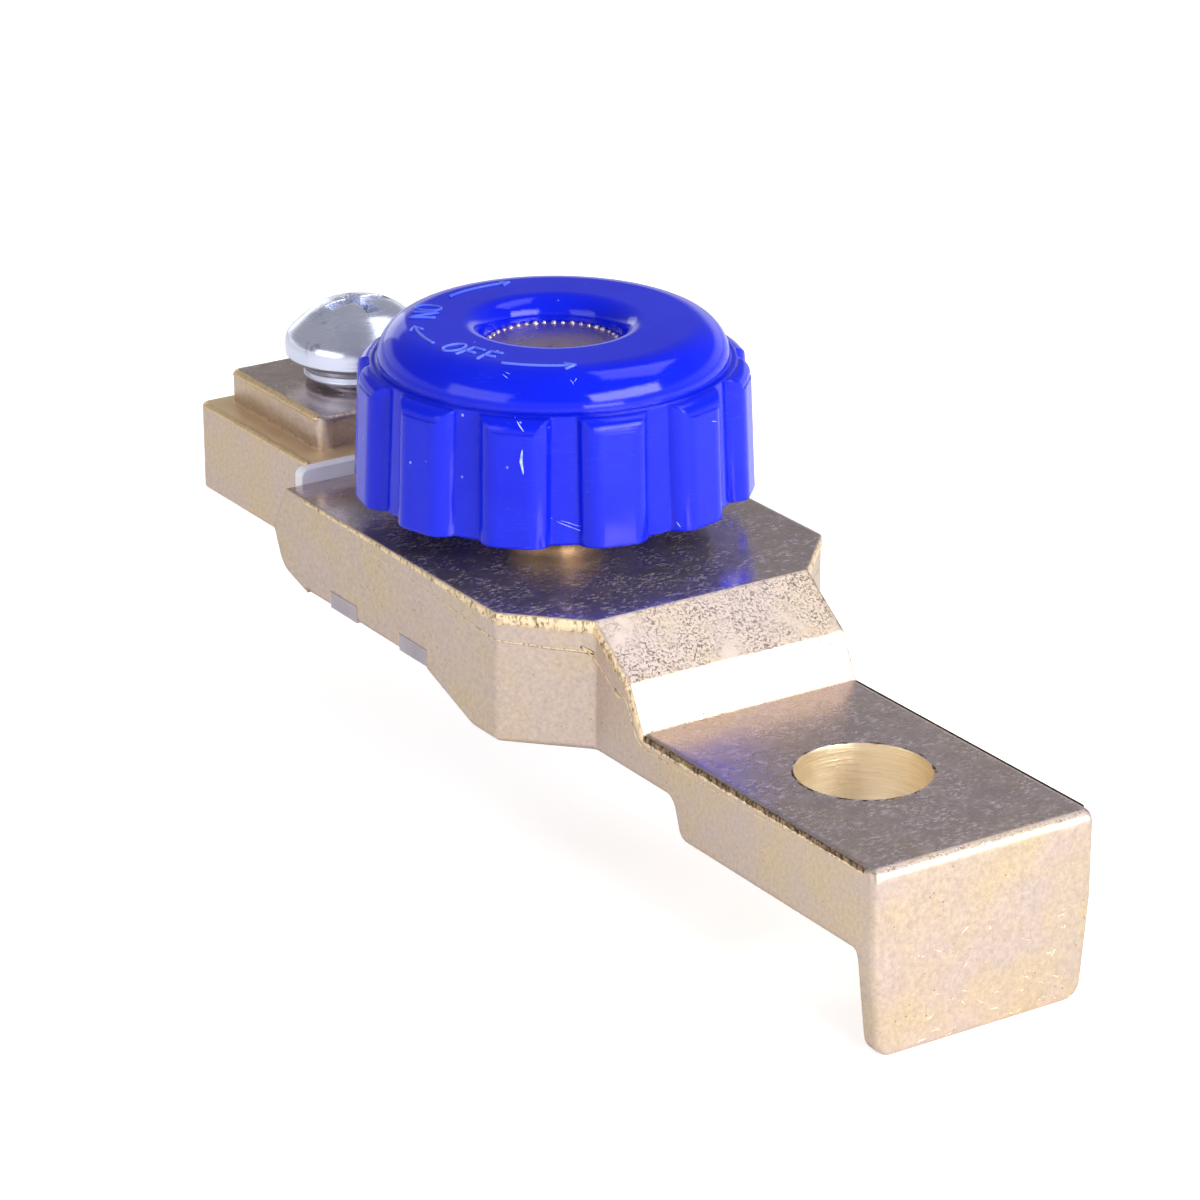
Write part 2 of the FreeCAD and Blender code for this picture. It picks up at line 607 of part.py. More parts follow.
# White plate that closes the body from below, with pegs for the tongue and lugs for the walls
def insulator_plate():
    body = new_body("insulator_plate")
    side = "(%s - Sizes.fit_clearance)" % INNER_HALF
    front = "-(%s + Sizes.fit_clearance)" % RECESS_END
    plan = new_sketch(body, "plate_plan", "XY_Plane", WALL_FOOT)
    rectangle(plan, "-" + BODY_END, front, "-" + side, side)
    slab = pad(body, "slab", plan, "Sizes.plate_thickness")
    far = value("-" + BODY_END)
    low = value(WALL_FOOT)
    fillet(body, "slab_heel", slab,
           lambda edge: near(edge.BoundBox.XMax, far) and near(edge.BoundBox.ZMax, low),
           "Sizes.plate_heel_round")
    lugs = new_sketch(body, "lug_view", "XZ_Plane")
    for back in LUG_BACKS:
        rectangle(lugs, "-(%s + Sizes.lug_length / 2)" % back,
                  "-(%s - Sizes.lug_length / 2)" % back, WALL_FOOT, LUG_TOP)
    pad(body, "lugs", lugs, "Sizes.body_width", symmetric=True)
    pegs = new_sketch(body, "peg_plan", "XY_Plane", "Sizes.plate_seat")
    for sign in ("", "-"):
        circle(pegs, "-" + PEG_BACK, sign + TONGUE_HALF + " / 2", "Sizes.peg_radius")
    pad(body, "pegs", pegs, "Sizes.tongue_thickness - Sizes.fit_clearance")

    bore = new_sketch(body, "screw_bores", "XY_Plane", WALL_FOOT)
    for back in PLATE_SCREW_BACKS.values():
        for sign in ("", "-"):
            circle(bore, "-" + back, sign + PLATE_SCREW_SIDE,
                   "Sizes.plate_screw_radius + Sizes.loose_clearance")
    doc.recompute()
    sunk = body.newObject("PartDesign::Hole", "countersunk_holes")
    sunk.Profile = (bore, [""])
    sunk.Reversed = True
    sunk.ThreadType = "None"
    sunk.DepthType = "ThroughAll"
    sunk.HoleCutType = "Countersink"
    sunk.setExpression("Diameter", "2 * (Sizes.plate_screw_radius + Sizes.loose_clearance)")
    sunk.setExpression("HoleCutDiameter",
                       "2 * (Sizes.plate_screw_head_radius + Sizes.loose_clearance)")
    sunk.HoleCutCountersinkAngle = 90.0
    doc.recompute()
    return body


# One of four countersunk screws that hold the plate, head down and flush
def plate_screw(label, back, side):
    body = new_body(label)
    profile = new_sketch(body, "screw_profile", "XZ_Plane")
    outline(profile, [
        ("0", "0"),
        ("Sizes.plate_screw_head_radius", "0"),
        ("Sizes.plate_screw_radius", "Sizes.plate_screw_head_radius - Sizes.plate_screw_radius"),
        ("Sizes.plate_screw_radius", "Sizes.plate_screw_length - Sizes.plate_screw_radius / 2"),
        ("Sizes.plate_screw_radius / 2", "Sizes.plate_screw_length"),
        ("0", "Sizes.plate_screw_length"),
    ])
    turned(body, "screw", profile)
    slot = new_sketch(body, "slot_plan", "XY_Plane")
    cross_outline(slot, "Sizes.plate_screw_cross_reach", "Sizes.plate_screw_cross_width / 2")
    pocket(body, "cross", slot, "Sizes.plate_screw_cross_width", reverse=True)
    body.setExpression("Placement.Base.x", "-" + back)
    body.setExpression("Placement.Base.y", side)
    body.setExpression("Placement.Base.z", WALL_FOOT)
    return body


def cross_outline(sketch, reach, half_width):
    """The plan of a cross recess: twelve corners about the screw's axis."""
    minus_reach = "-(%s)" % reach
    minus_half = "-(%s)" % half_width
    outline(sketch, [
        (half_width, half_width), (half_width, reach),
        (minus_half, reach), (minus_half, half_width),
        (minus_reach, half_width), (minus_reach, minus_half),
        (minus_half, minus_half), (minus_half, minus_reach),
        (half_width, minus_reach), (half_width, minus_half),
        (reach, minus_half), (reach, half_width),
    ])


# Moulded knob: drafted skirt with rounded ribs, a round dome and a deep centre throat
def knob():
    body = new_body("knob")
    core = new_sketch(body, "core_profile", "XZ_Plane")
    skirt_inside = "(Sizes.valley_radius - Sizes.skirt_wall)"
    valley_top = "(Sizes.valley_radius - Sizes.skirt_draft)"
    dome = "(%s - Sizes.dome_ledge)" % valley_top
    throat = "(Sizes.contact_head_radius - Sizes.throat_grip)"
    throat_foot = KNOB_HEIGHT + " - Sizes.contact_head_depth"
    pocket_roof = HEAD_SEAT + " - Sizes.throat_floor"
    shank = "(Sizes.contact_thread_radius + Sizes.fit_clearance)"
    outline(core, [
        (shank, "Sizes.hub_lift"),
        ("Sizes.hub_radius", "Sizes.hub_lift"),
        ("Sizes.hub_radius + Sizes.hub_draft", pocket_roof),
        (skirt_inside, pocket_roof),
        (skirt_inside, "0"),
        ("Sizes.valley_radius", "0"),
        (valley_top, "Sizes.dome_height"),
        (dome, "Sizes.dome_height"),
        (dome, KNOB_HEIGHT, "Sizes.dome_rise - Sizes.fit_clearance"),
        (throat, KNOB_HEIGHT, "Sizes.contact_head_depth - Sizes.throat_land"),
        (throat, throat_foot),
        ("Sizes.contact_head_radius + Sizes.fit_clearance", throat_foot),
        ("Sizes.contact_head_radius + Sizes.fit_clearance", HEAD_SEAT),
        (shank, HEAD_SEAT),
    ])
    turned(body, "core", core)

    # One rib, leaning in with the skirt's draft, then repeated round it
    inner = "(%s + Sizes.rim_round)" % skirt_inside
    outer = "(Sizes.valley_radius + Sizes.rib_depth)"
    lean = "(Sizes.skirt_draft / Sizes.dome_height)"
    height = "(Sizes.dome_height - Sizes.rib_set_down)"
    plan = new_sketch(body, "rib_plan", "XY_Plane")
    outline(plan, [
        (inner, "-Sizes.rib_width / 2"),
        (outer, "-Sizes.rib_width / 2", "Sizes.rib_corner"),
        (outer, "Sizes.rib_width / 2", "Sizes.rib_corner"),
        (inner, "Sizes.rib_width / 2"),
    ])
    rib = pad(body, "rib", plan, height)
    rib.UseCustomVector = True
    rib.AlongSketchNormal = True
    rib.Direction = FreeCAD.Vector(-value(lean), 0, 1)
    rib.setExpression("Direction.x", "-" + lean)
    doc.recompute()
    polar(body, "ribs", rib, "Sizes.rib_count")

    # Rounded crowns on the ribs, below the dome
    crown = new_sketch(body, "crown_profile", "XZ_Plane")
    rib_top = "(%s - Sizes.skirt_draft)" % outer
    past = outer + " + Sizes.overrun"
    start = "%s - Sizes.rib_crown - Sizes.fit_clearance" % height
    inside = "%s - Sizes.rib_crown - Sizes.fit_clearance" % rib_top
    outline(crown, [
        (rib_top, start),
        (past, start),
        (past, "Sizes.dome_height"),
        (inside, "Sizes.dome_height"),
        (inside, height),
        (rib_top, height, "Sizes.rib_crown"),
    ])
    turned(body, "rib_crowns", crown, cut=True)

    # Webs between the hub and the skirt
    web = new_sketch(body, "web_plan", "XY_Plane", "Sizes.hub_lift + Sizes.rim_round")
    rectangle(web, "Sizes.hub_radius - Sizes.rim_round", inner,
              "-Sizes.web_thickness / 2", "Sizes.web_thickness / 2")
    rung = pad(body, "web", web, pocket_roof + " - Sizes.hub_lift")
    polar(body, "webs", rung, "Sizes.web_count")

    body.setExpression("Placement.Base.x", "-" + KNOB_BACK)
    body.setExpression("Placement.Base.z", "Sizes.knob_foot")
    body.Placement.Rotation = FreeCAD.Rotation(TOP_AXIS, size["first_rib_turn"])
    return body


# Contact screw: knurled head moulded into the knob, threaded shank, blind socket for the pad
def contact_screw():
    body = new_body("contact_screw")
    tip = "-(%s - Sizes.pad_thickness)" % CONTACT_HEIGHT
    shank = "Sizes.contact_thread_radius"
    profile = new_sketch(body, "screw_profile", "XZ_Plane")
    outline(profile, [
        ("0", tip),
        ("%s - Sizes.rim_round" % shank, tip),
        (shank, tip + " + Sizes.rim_round"),
        (shank, HEAD_SEAT),
        ("Sizes.contact_head_radius", HEAD_SEAT),
        ("Sizes.contact_head_radius", HEAD_SEAT + " + Sizes.contact_head_height"),
        ("0", HEAD_SEAT + " + Sizes.contact_head_height"),
    ])
    turned(body, "turned_blank", profile)
    socket = new_sketch(body, "socket_plan", "XY_Plane", tip)
    circle(socket, "0", "0", "Sizes.pad_stem_radius + Sizes.thread_clearance")
    pocket(body, "socket", socket, "Sizes.pad_stem_length + Sizes.loose_clearance",
           reverse=True)
    groove = new_sketch(body, "knurl_plan", "XY_Plane", HEAD_SEAT)
    half = "(Sizes.contact_head_radius * tan(90 deg / Sizes.knurl_count))"
    outline(groove, [
        ("Sizes.contact_head_radius - Sizes.knurl_depth", "0"),
        ("Sizes.contact_head_radius + Sizes.knurl_depth", "-2 * " + half),
        ("Sizes.contact_head_radius + Sizes.knurl_depth", "2 * " + half),
    ])
    flute = pocket(body, "knurl_groove", groove, "Sizes.contact_head_height", reverse=True)
    polar(body, "knurl", flute, "Sizes.knurl_count")
    body.setExpression("Placement.Base.x", "-" + KNOB_BACK)
    body.setExpression("Placement.Base.z", "Sizes.knob_foot")
    return body


# Swivelling pad: presses on the tongue without turning on it
def contact_pad():
    body = new_body("contact_pad")
    profile = new_sketch(body, "pad_profile", "XZ_Plane")
    outline(profile, [
        ("0", "0"),
        ("Sizes.pad_radius - Sizes.rim_round", "0"),
        ("Sizes.pad_radius", "Sizes.rim_round"),
        ("Sizes.pad_radius", "Sizes.pad_thickness"),
        ("Sizes.pad_stem_radius", "Sizes.pad_thickness"),
        ("Sizes.pad_stem_radius", "Sizes.pad_thickness + Sizes.pad_stem_length"),
        ("0", "Sizes.pad_thickness + Sizes.pad_stem_length"),
    ])
    turned(body, "pad", profile)
    body.setExpression("Placement.Base.x", "-" + KNOB_BACK)
    body.setExpression("Placement.Base.z", TONGUE_TOP)
    return body


# Pan head terminal screw with a cross recess, drawn up a little from its boss
def terminal_screw():
    body = new_body("terminal_screw")
    profile = new_sketch(body, "screw_profile", "XZ_Plane")
    outline(profile, [
        ("0", "-Sizes.terminal_screw_length"),
        ("Sizes.terminal_thread_radius - Sizes.rim_round", "-Sizes.terminal_screw_length"),
        ("Sizes.terminal_thread_radius", "Sizes.rim_round - Sizes.terminal_screw_length"),
        ("Sizes.terminal_thread_radius", "0"),
        ("Sizes.terminal_head_radius - Sizes.rim_round", "0"),
        ("Sizes.terminal_head_radius", "Sizes.rim_round"),
        ("Sizes.terminal_head_radius", "Sizes.terminal_head_rim", "Sizes.terminal_rim_round"),
        ("Sizes.terminal_crown_radius", "Sizes.terminal_head_height",
         "Sizes.terminal_crown_round"),
        ("0", "Sizes.terminal_head_height"),
    ])
    turned(body, "turned_blank", profile)

    # The cross recess narrows to its floor
    mouth = new_sketch(body, "cross_mouth", "XY_Plane",
                       "Sizes.terminal_head_height + Sizes.rim_round")
    cross_outline(mouth, "Sizes.cross_reach", "Sizes.cross_width / 2")
    floor = new_sketch(body, "cross_floor", "XY_Plane",
                       "Sizes.terminal_head_height - Sizes.cross_depth")
    cross_outline(floor, "Sizes.cross_floor_reach", "Sizes.cross_floor_width / 2")
    recess = body.newObject("PartDesign::SubtractiveLoft", "cross_recess")
    recess.Profile = mouth
    recess.Sections = [floor]
    recess.Ruled = True
    doc.recompute()
    body.setExpression("Placement.Base.x", "-" + TERMINAL_BACK)
    body.setExpression("Placement.Base.y", "-Sizes.terminal_offset")
    body.setExpression("Placement.Base.z",
                       BOSS_TOP + " + Sizes.terminal_gap + Sizes.washer_thickness")
    return body


# Split spring washer, captive under the head of the terminal screw
def terminal_spring_washer():
    body = new_body("terminal_spring_washer")
    ring = new_sketch(body, "ring_plan", "XY_Plane")
    circle(ring, "0", "0", "Sizes.washer_radius")
    circle(ring, "0", "0", "Sizes.terminal_thread_radius + Sizes.loose_clearance")
    pad(body, "ring", ring, "Sizes.washer_thickness")
    split = new_sketch(body, "split_view", "XZ_Plane")
    lean = "Sizes.washer_slot"
    outline(split, [
        ("-Sizes.washer_slot", "0"),
        ("0", "0"),
        (lean, "Sizes.washer_thickness"),
        (lean + " - Sizes.washer_slot", "Sizes.washer_thickness"),
    ])
    pocket(body, "split", split, "Sizes.washer_radius + Sizes.overrun")
    body.setExpression("Placement.Base.x", "-" + TERMINAL_BACK)
    body.setExpression("Placement.Base.y", "-Sizes.terminal_offset")
    body.setExpression("Placement.Base.z", BOSS_TOP + " + Sizes.terminal_gap")
    return body


bodies = [
    battery_side_casting(),
    cable_side_casting(),
    insulator_liner(),
    insulator_plate(),
    knob(),
    contact_screw(),
    contact_pad(),
    terminal_screw(),
    terminal_spring_washer(),
]
for place, screw_back in PLATE_SCREW_BACKS.items():
    for hand, sign in (("left", ""), ("right", "-")):
        bodies.append(plate_screw("plate_screw_%s_%s" % (place, hand), screw_back,
                                  sign + PLATE_SCREW_SIDE))
doc.recompute()

# Every object has to be sound before anything is written
for item in doc.Objects:
    if "Invalid" in item.State or "Error" in item.State:
        raise RuntimeError("%s is in state %s" % (item.Name, item.State))
os.makedirs("parts", exist_ok=True)
for body in bodies:
    shape = body.Shape
    if shape.isNull() or not shape.isValid() or len(shape.Solids) != 1:
        raise RuntimeError("%s is not one sound solid" % body.Label)
for body in bodies:
    body.Shape.exportStep("parts/%s.step" % body.Label)
    print(body.Label, round(body.Shape.Volume, 1))
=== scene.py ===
"""Looks of the battery cut-off switch: materials, wear, lettering, light and camera.

All of it is put round the CAD frame, whose own meshes and places stay as they are.
Lengths on the part are in millimetres, lengths of the stage in metres.
"""

import math
import random

import bmesh
import bpy
from mathutils import Matrix, Vector, noise
from mathutils.bvhtree import BVHTree


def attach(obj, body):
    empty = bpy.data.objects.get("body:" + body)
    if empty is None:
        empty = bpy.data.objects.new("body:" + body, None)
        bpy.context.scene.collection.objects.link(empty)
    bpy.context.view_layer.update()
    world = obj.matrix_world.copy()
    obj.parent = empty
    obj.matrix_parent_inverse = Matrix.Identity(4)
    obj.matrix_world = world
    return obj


MM = 0.001
SEED = 41
PHOTO_SIDE = 1200
UP = Vector((0.0, 0.0, 1.0))

# Camera that was fitted to the photograph, in metres and degrees
CAMERA_PLACE = (0.245515, -0.183234, 0.142355)
CAMERA_AZIMUTH = 56.952
CAMERA_ELEVATION = 21.694
CAMERA_LENS = 134.28
SENSOR_WIDTH = 36.0

# Places on the part
KNOB_AXIS = Vector((-43.0, 0.0, 0.0))
TERMINAL_AXIS = Vector((-71.2, -1.9, 0.0))
FLOOR_LEVEL = -8.1
TAB_TOP = 7.0
TAB_HALF = 10.0
BODY_TOP = 14.0
BODY_HALF = 15.45
BAR_TOP = 15.2
BOSS_TOP = 18.1
CONTACT_SCREW_TOP = 28.6
HOLE_RIM = 5.36

# Radius, top and pitch of each thread that shows
CONTACT_THREAD = (4.0, 25.4, 1.25)
TERMINAL_THREAD = (2.95, 20.0, 1.0)

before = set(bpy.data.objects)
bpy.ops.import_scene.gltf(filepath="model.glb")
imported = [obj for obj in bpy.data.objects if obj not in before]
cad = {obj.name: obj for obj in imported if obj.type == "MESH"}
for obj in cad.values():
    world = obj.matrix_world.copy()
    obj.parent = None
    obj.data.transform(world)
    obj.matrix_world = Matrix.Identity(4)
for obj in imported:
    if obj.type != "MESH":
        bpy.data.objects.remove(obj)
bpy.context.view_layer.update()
random.seed(SEED)


# Colours are given as they look on a screen and turned into linear values here
def linear(channel):
    channel /= 255.0
    if channel <= 0.04045:
        return channel / 12.92
    return ((channel + 0.055) / 1.055) ** 2.4


def rgb(red, green, blue):
    return (linear(red), linear(green), linear(blue), 1.0)


class Tree:
    """A node tree, with short calls that add nodes to it and link them."""

    def __init__(self, tree):
        self.tree = tree

    def add(self, kind, **settings):
        node = self.tree.nodes.new(kind)
        for key, value in settings.items():
            setattr(node, key, value)
        return node

    def link(self, source, target):
        """Link an output to an input, or set the input when the source is a plain value."""
        if isinstance(source, (int, float, tuple, Vector)):
            target.default_value = source
        else:
            self.tree.links.new(source, target)

    def span(self, value, low, high, to_low=0.0, to_high=1.0, interpolation="LINEAR"):
        """The value's place between low and high, kept between to_low and to_high."""
        node = self.add("ShaderNodeMapRange", interpolation_type=interpolation)
        self.link(value, node.inputs["Value"])
        node.inputs["From Min"].default_value = low
        node.inputs["From Max"].default_value = high
        node.inputs["To Min"].default_value = to_low
        node.inputs["To Max"].default_value = to_high
        return node.outputs["Result"]

    def math(self, operation, first, second=0.0):
        node = self.add("ShaderNodeMath", operation=operation)
        self.link(first, node.inputs[0])
        self.link(second, node.inputs[1])
        return node.outputs["Value"]

    def plus(self, first, second):
        return self.math("ADD", first, second)

    def minus(self, first, second):
        return self.math("SUBTRACT", first, second)

    def times(self, first, second):
        return self.math("MULTIPLY", first, second)

    def length(self, x, y):
        return self.math("SQRT", self.plus(self.times(x, x), self.times(y, y)))

    def mix(self, factor, first, second, blend="MIX"):
        node = self.add("ShaderNodeMix", data_type="RGBA", blend_type=blend)
        self.link(factor, node.inputs["Factor"])
        self.link(first, node.inputs["A"])
        self.link(second, node.inputs["B"])
        return node.outputs["Result"]

    def parts(self, vector):
        node = self.add("ShaderNodeSeparateXYZ")
        self.link(vector, node.inputs["Vector"])
        return node.outputs


class Surface(Tree):
    """A new material, whose textures follow the piece's own coordinates."""

    def __init__(self, name):
        self.material = bpy.data.materials.new(name)
        self.material.use_nodes = True
        super().__init__(self.material.node_tree)
        self.shader = self.tree.nodes["Principled BSDF"]
        self.place = self.add("ShaderNodeTexCoord").outputs["Object"]

    def noise(self, scale, detail=4.0, rough=0.55, place=None):
        node = self.add("ShaderNodeTexNoise")
        self.link(self.place if place is None else place, node.inputs["Vector"])
        node.inputs["Scale"].default_value = scale
        node.inputs["Detail"].default_value = detail
        node.inputs["Roughness"].default_value = rough
        return node.outputs["Fac"]

    def cells(self, scale):
        """The distance to the nearest of many scattered points."""
        node = self.add("ShaderNodeTexVoronoi")
        self.link(self.place, node.inputs["Vector"])
        node.inputs["Scale"].default_value = scale
        return node.outputs["Distance"]

    def stretched(self, x, y, z, turn=(0.0, 0.0, 0.0)):
        """Coordinates for a texture that is drawn out along the axes with small scales."""
        node = self.add("ShaderNodeMapping")
        self.link(self.place, node.inputs["Vector"])
        node.inputs["Scale"].default_value = (x, y, z)
        node.inputs["Rotation"].default_value = turn
        return node.outputs["Vector"]

    def facing(self):
        """The parts of the surface's normal. Z is 1 on a level face that looks up."""
        return self.parts(self.add("ShaderNodeNewGeometry").outputs["Normal"])

    def edges(self, radius):
        """A mask that is 1 on a sharp edge and 0 on a flat face, and the rounded normal."""
        bevel = self.add("ShaderNodeBevel", samples=4)
        bevel.inputs["Radius"].default_value = radius
        plain = self.add("ShaderNodeNewGeometry").outputs["Normal"]
        dot = self.add("ShaderNodeVectorMath", operation="DOT_PRODUCT")
        self.link(bevel.outputs["Normal"], dot.inputs[0])
        self.link(plain, dot.inputs[1])
        return self.span(dot.outputs["Value"], 0.995, 0.90), bevel.outputs["Normal"]

    def bump(self, height, distance, strength, normal=None):
        node = self.add("ShaderNodeBump")
        self.link(height, node.inputs["Height"])
        node.inputs["Distance"].default_value = distance
        node.inputs["Strength"].default_value = strength
        if normal is not None:
            self.link(normal, node.inputs["Normal"])
        return node.outputs["Normal"]

    def finish(self, colour, roughness, normal=None, metallic=0.0):
        """Link the shader and give the material. metallic is None where it's linked already."""
        self.link(colour, self.shader.inputs["Base Color"])
        self.link(roughness, self.shader.inputs["Roughness"])
        if metallic is not None:
            self.shader.inputs["Metallic"].default_value = metallic
        if normal is not None:
            self.link(normal, self.shader.inputs["Normal"])
        return self.material


# Materials
def brass_casting(name, base, warm, dark, ledge=None):
    """Thin pale brass on a tumbled die casting: level tops are polished, walls are satin.

    ledge is the height of a level face that is dull and more golden."""
    n = Surface(name)
    up = n.facing()["Z"]
    level = n.span(up, 0.90, 0.99)
    slant = n.times(n.span(up, 0.55, 0.70), n.span(up, 0.95, 0.88))
    edge, rounded = n.edges(0.35 * MM)

    # Patterns: cloudy plating, fine grain, orange peel, ragged edges, pits and dark speckle
    blotch = n.noise(140.0, 5.0, 0.65)
    grain = n.noise(2700.0, 4.0, 0.7)
    orange = n.noise(620.0, 3.0, 0.5)
    rag = n.noise(640.0, 3.0, 0.7)
    pits = n.span(n.cells(1500.0), 0.14, 0.05)
    pits = n.times(pits, n.span(n.noise(300.0, 2.0, 0.5), 0.49, 0.60))
    speckle = n.span(n.noise(4200.0, 4.0, 0.8), 0.51, 0.57)
    crowd = n.span(n.noise(260.0, 3.0, 0.6), 0.36, 0.60)
    on_slant = n.times(n.times(speckle, crowd), slant)
    on_level = n.times(n.times(speckle, crowd), level)

    # Colour, with bare metal and nicks along the edges. The pale edges are partly worn metal and
    # partly a painted highlight
    colour = n.mix(n.span(blotch, 0.42, 0.66, 0.0, 0.8), base, warm)
    shade = n.span(grain, 0.25, 0.75, 0.76, 1.16)
    greys = n.add("ShaderNodeCombineColor")
    for channel in ("Red", "Green", "Blue"):
        n.link(shade, greys.inputs[channel])
    colour = n.mix(1.0, colour, greys.outputs["Color"], "MULTIPLY")
    # Pale edges: worn bare metal and a painted edge highlight
    wear_and_highlight = n.times(edge, n.span(rag, 0.35, 0.6))
    colour = n.mix(n.times(wear_and_highlight, 0.7), colour, rgb(243, 214, 160))
    nicks = n.times(edge, n.span(rag, 0.44, 0.34))
    colour = n.mix(n.times(nicks, 0.8), colour, dark)
    colour = n.mix(n.times(pits, 0.75), colour, dark)
    # Painted reflection: slanted faces paler and level tops a pinkish grey, set by the way they
    # face
    colour = n.mix(n.times(slant, 0.15), colour, rgb(240, 234, 234))
    colour = n.mix(n.times(level, 0.45), colour, rgb(206, 190, 194))
    colour = n.mix(n.times(on_slant, 0.8), colour, rgb(98, 86, 82))

    # Pale scrapes on the level tops
    streaks = n.stretched(1.0, 0.45, 1.0, (0.0, 0.0, 0.5))
    scrapes = n.span(n.noise(3600.0, 4.0, 0.8, streaks), 0.52, 0.59)
    scrapes = n.times(scrapes, n.span(n.noise(520.0, 3.0, 0.6), 0.34, 0.56))
    scrapes = n.times(scrapes, level)
    colour = n.mix(n.times(scrapes, 0.6), colour, rgb(206, 196, 206))

    # The drilled hole shows paler metal with rings left by the drill
    place = n.parts(n.place)
    reach = n.length(place["X"], place["Y"])
    bored = n.times(n.span(reach, (HOLE_RIM + 0.19) * MM, (HOLE_RIM - 0.01) * MM),
                    n.span(up, 0.5, 0.3))
    rings = n.noise(900.0, 3.0, 0.7, n.stretched(0.25, 0.25, 5.0))
    drilled = n.mix(n.span(rings, 0.3, 0.7), rgb(238, 218, 184), rgb(252, 238, 210))
    colour = n.mix(bored, colour, drilled)

    # Roughness: satin walls, polished tops, and smoother ones higher up
    satin = n.span(grain, 0.3, 0.7, 0.30, 0.46)
    high = n.span(place["Z"], 9.0 * MM, 12.0 * MM)
    polished = n.plus(n.span(orange, 0.3, 0.7, 0.10, 0.19), n.times(n.minus(1.0, high), 0.12))
    roughness = n.plus(n.times(satin, n.minus(1.0, level)), n.times(polished, level))
    roughness = n.plus(roughness, n.times(on_level, 0.10))
    if ledge:
        low = n.times(n.span(place["Z"], (ledge + 0.25) * MM, (ledge + 0.1) * MM), level)
        colour = n.mix(n.times(low, 0.85), colour, rgb(250, 222, 176))
        roughness = n.plus(roughness, n.times(low, 0.4))

    height = n.plus(n.times(grain, 0.30), n.times(orange, 0.45))
    height = n.minus(height, n.times(pits, 0.7))
    height = n.minus(height, n.times(nicks, 0.7))
    height = n.minus(height, n.times(on_slant, 0.5))
    height = n.plus(height, n.times(n.times(rings, bored), 1.6))
    normal = n.bump(height, 0.06 * MM, 0.6, rounded)
    n.link(n.minus(0.9, n.times(scrapes, 0.35)), n.shader.inputs["Metallic"])
    return n.finish(colour, roughness, normal, metallic=None)


def rough_brass(name, base, dark, torn=0.50):
    """The torn metal of a casting seam. torn is the share of it that is dark."""
    n = Surface(name)
    tear = n.noise(2600.0, 4.0, 0.75, n.stretched(1.0, 1.0, 0.45))
    holes = n.span(n.cells(1700.0), 0.30, 0.12)
    colour = n.mix(n.span(tear, torn - 0.16, torn), dark, base)
    colour = n.mix(n.times(holes, 0.6), colour, dark)
    height = n.minus(tear, n.times(holes, 0.6))
    roughness = n.span(tear, 0.3, 0.7, 0.45, 0.30)
    return n.finish(colour, roughness, n.bump(height, 0.12 * MM, 0.7), metallic=0.85)


def scuff_white(name, tone):
    """Plastic that a scratch has turned pale."""
    n = Surface(name)
    torn = n.noise(3000.0, 3.0, 0.7)
    colour = n.mix(n.span(torn, 0.35, 0.65), tone, rgb(226, 234, 254))
    return n.finish(colour, n.span(torn, 0.3, 0.7, 0.35, 0.6), n.bump(torn, 0.02 * MM, 0.5))


def nylon(name, tone, cloud_tone):
    """Moulded nylon, slightly cloudy and paler at its edges."""
    n = Surface(name)
    cloud = n.noise(160.0, 3.0)
    grain = n.noise(1800.0, 3.0, 0.6)
    colour = n.mix(n.span(cloud, 0.35, 0.65), tone, cloud_tone)
    edge, rounded = n.edges(0.2 * MM)
    colour = n.mix(n.times(edge, 0.4), colour, rgb(232, 231, 236))
    normal = n.bump(grain, 0.03 * MM, 0.5, rounded)
    n.shader.inputs["Subsurface Weight"].default_value = 0.15
    n.shader.inputs["Subsurface Radius"].default_value = (1.2 * MM, 1.1 * MM, 1.0 * MM)
    return n.finish(colour, n.span(grain, 0.3, 0.7, 0.42, 0.58), normal)


def blue_plastic(name, base, light):
    """Glossy moulded plastic with hairline scratches, pale specks and a faint ripple."""
    n = Surface(name)
    cloud = n.noise(120.0, 2.0)
    ripple = n.noise(260.0, 2.0, 0.4)
    hair = n.noise(240.0, 2.0, 0.5, n.stretched(1.0, 1.0, 14.0, (0.9, 0.3, 0.4)))
    hair = n.span(n.math("ABSOLUTE", n.minus(hair, 0.5)), 0.004, 0.0)
    hair = n.times(hair, n.span(n.noise(150.0, 2.0), 0.52, 0.66))
    specks = n.span(n.cells(520.0), 0.075, 0.03)
    specks = n.times(specks, n.span(n.noise(210.0, 2.0), 0.55, 0.62))
    rounded = n.edges(0.3 * MM)[1]
    colour = n.mix(n.span(cloud, 0.3, 0.7), base, light)
    colour = n.mix(n.times(hair, 0.12), colour, rgb(150, 170, 250))
    colour = n.mix(n.times(specks, 0.75), colour, rgb(190, 200, 250))
    height = n.plus(n.times(ripple, 0.6), n.times(n.noise(1500.0, 2.0), 0.05))
    height = n.plus(height, n.times(specks, 0.3))
    normal = n.bump(height, 0.06 * MM, 0.35, rounded)
    n.shader.inputs["IOR"].default_value = 1.36
    rough = n.plus(n.span(cloud, 0.3, 0.7, 0.06, 0.11), n.times(hair, 0.2))
    return n.finish(colour, rough, normal)


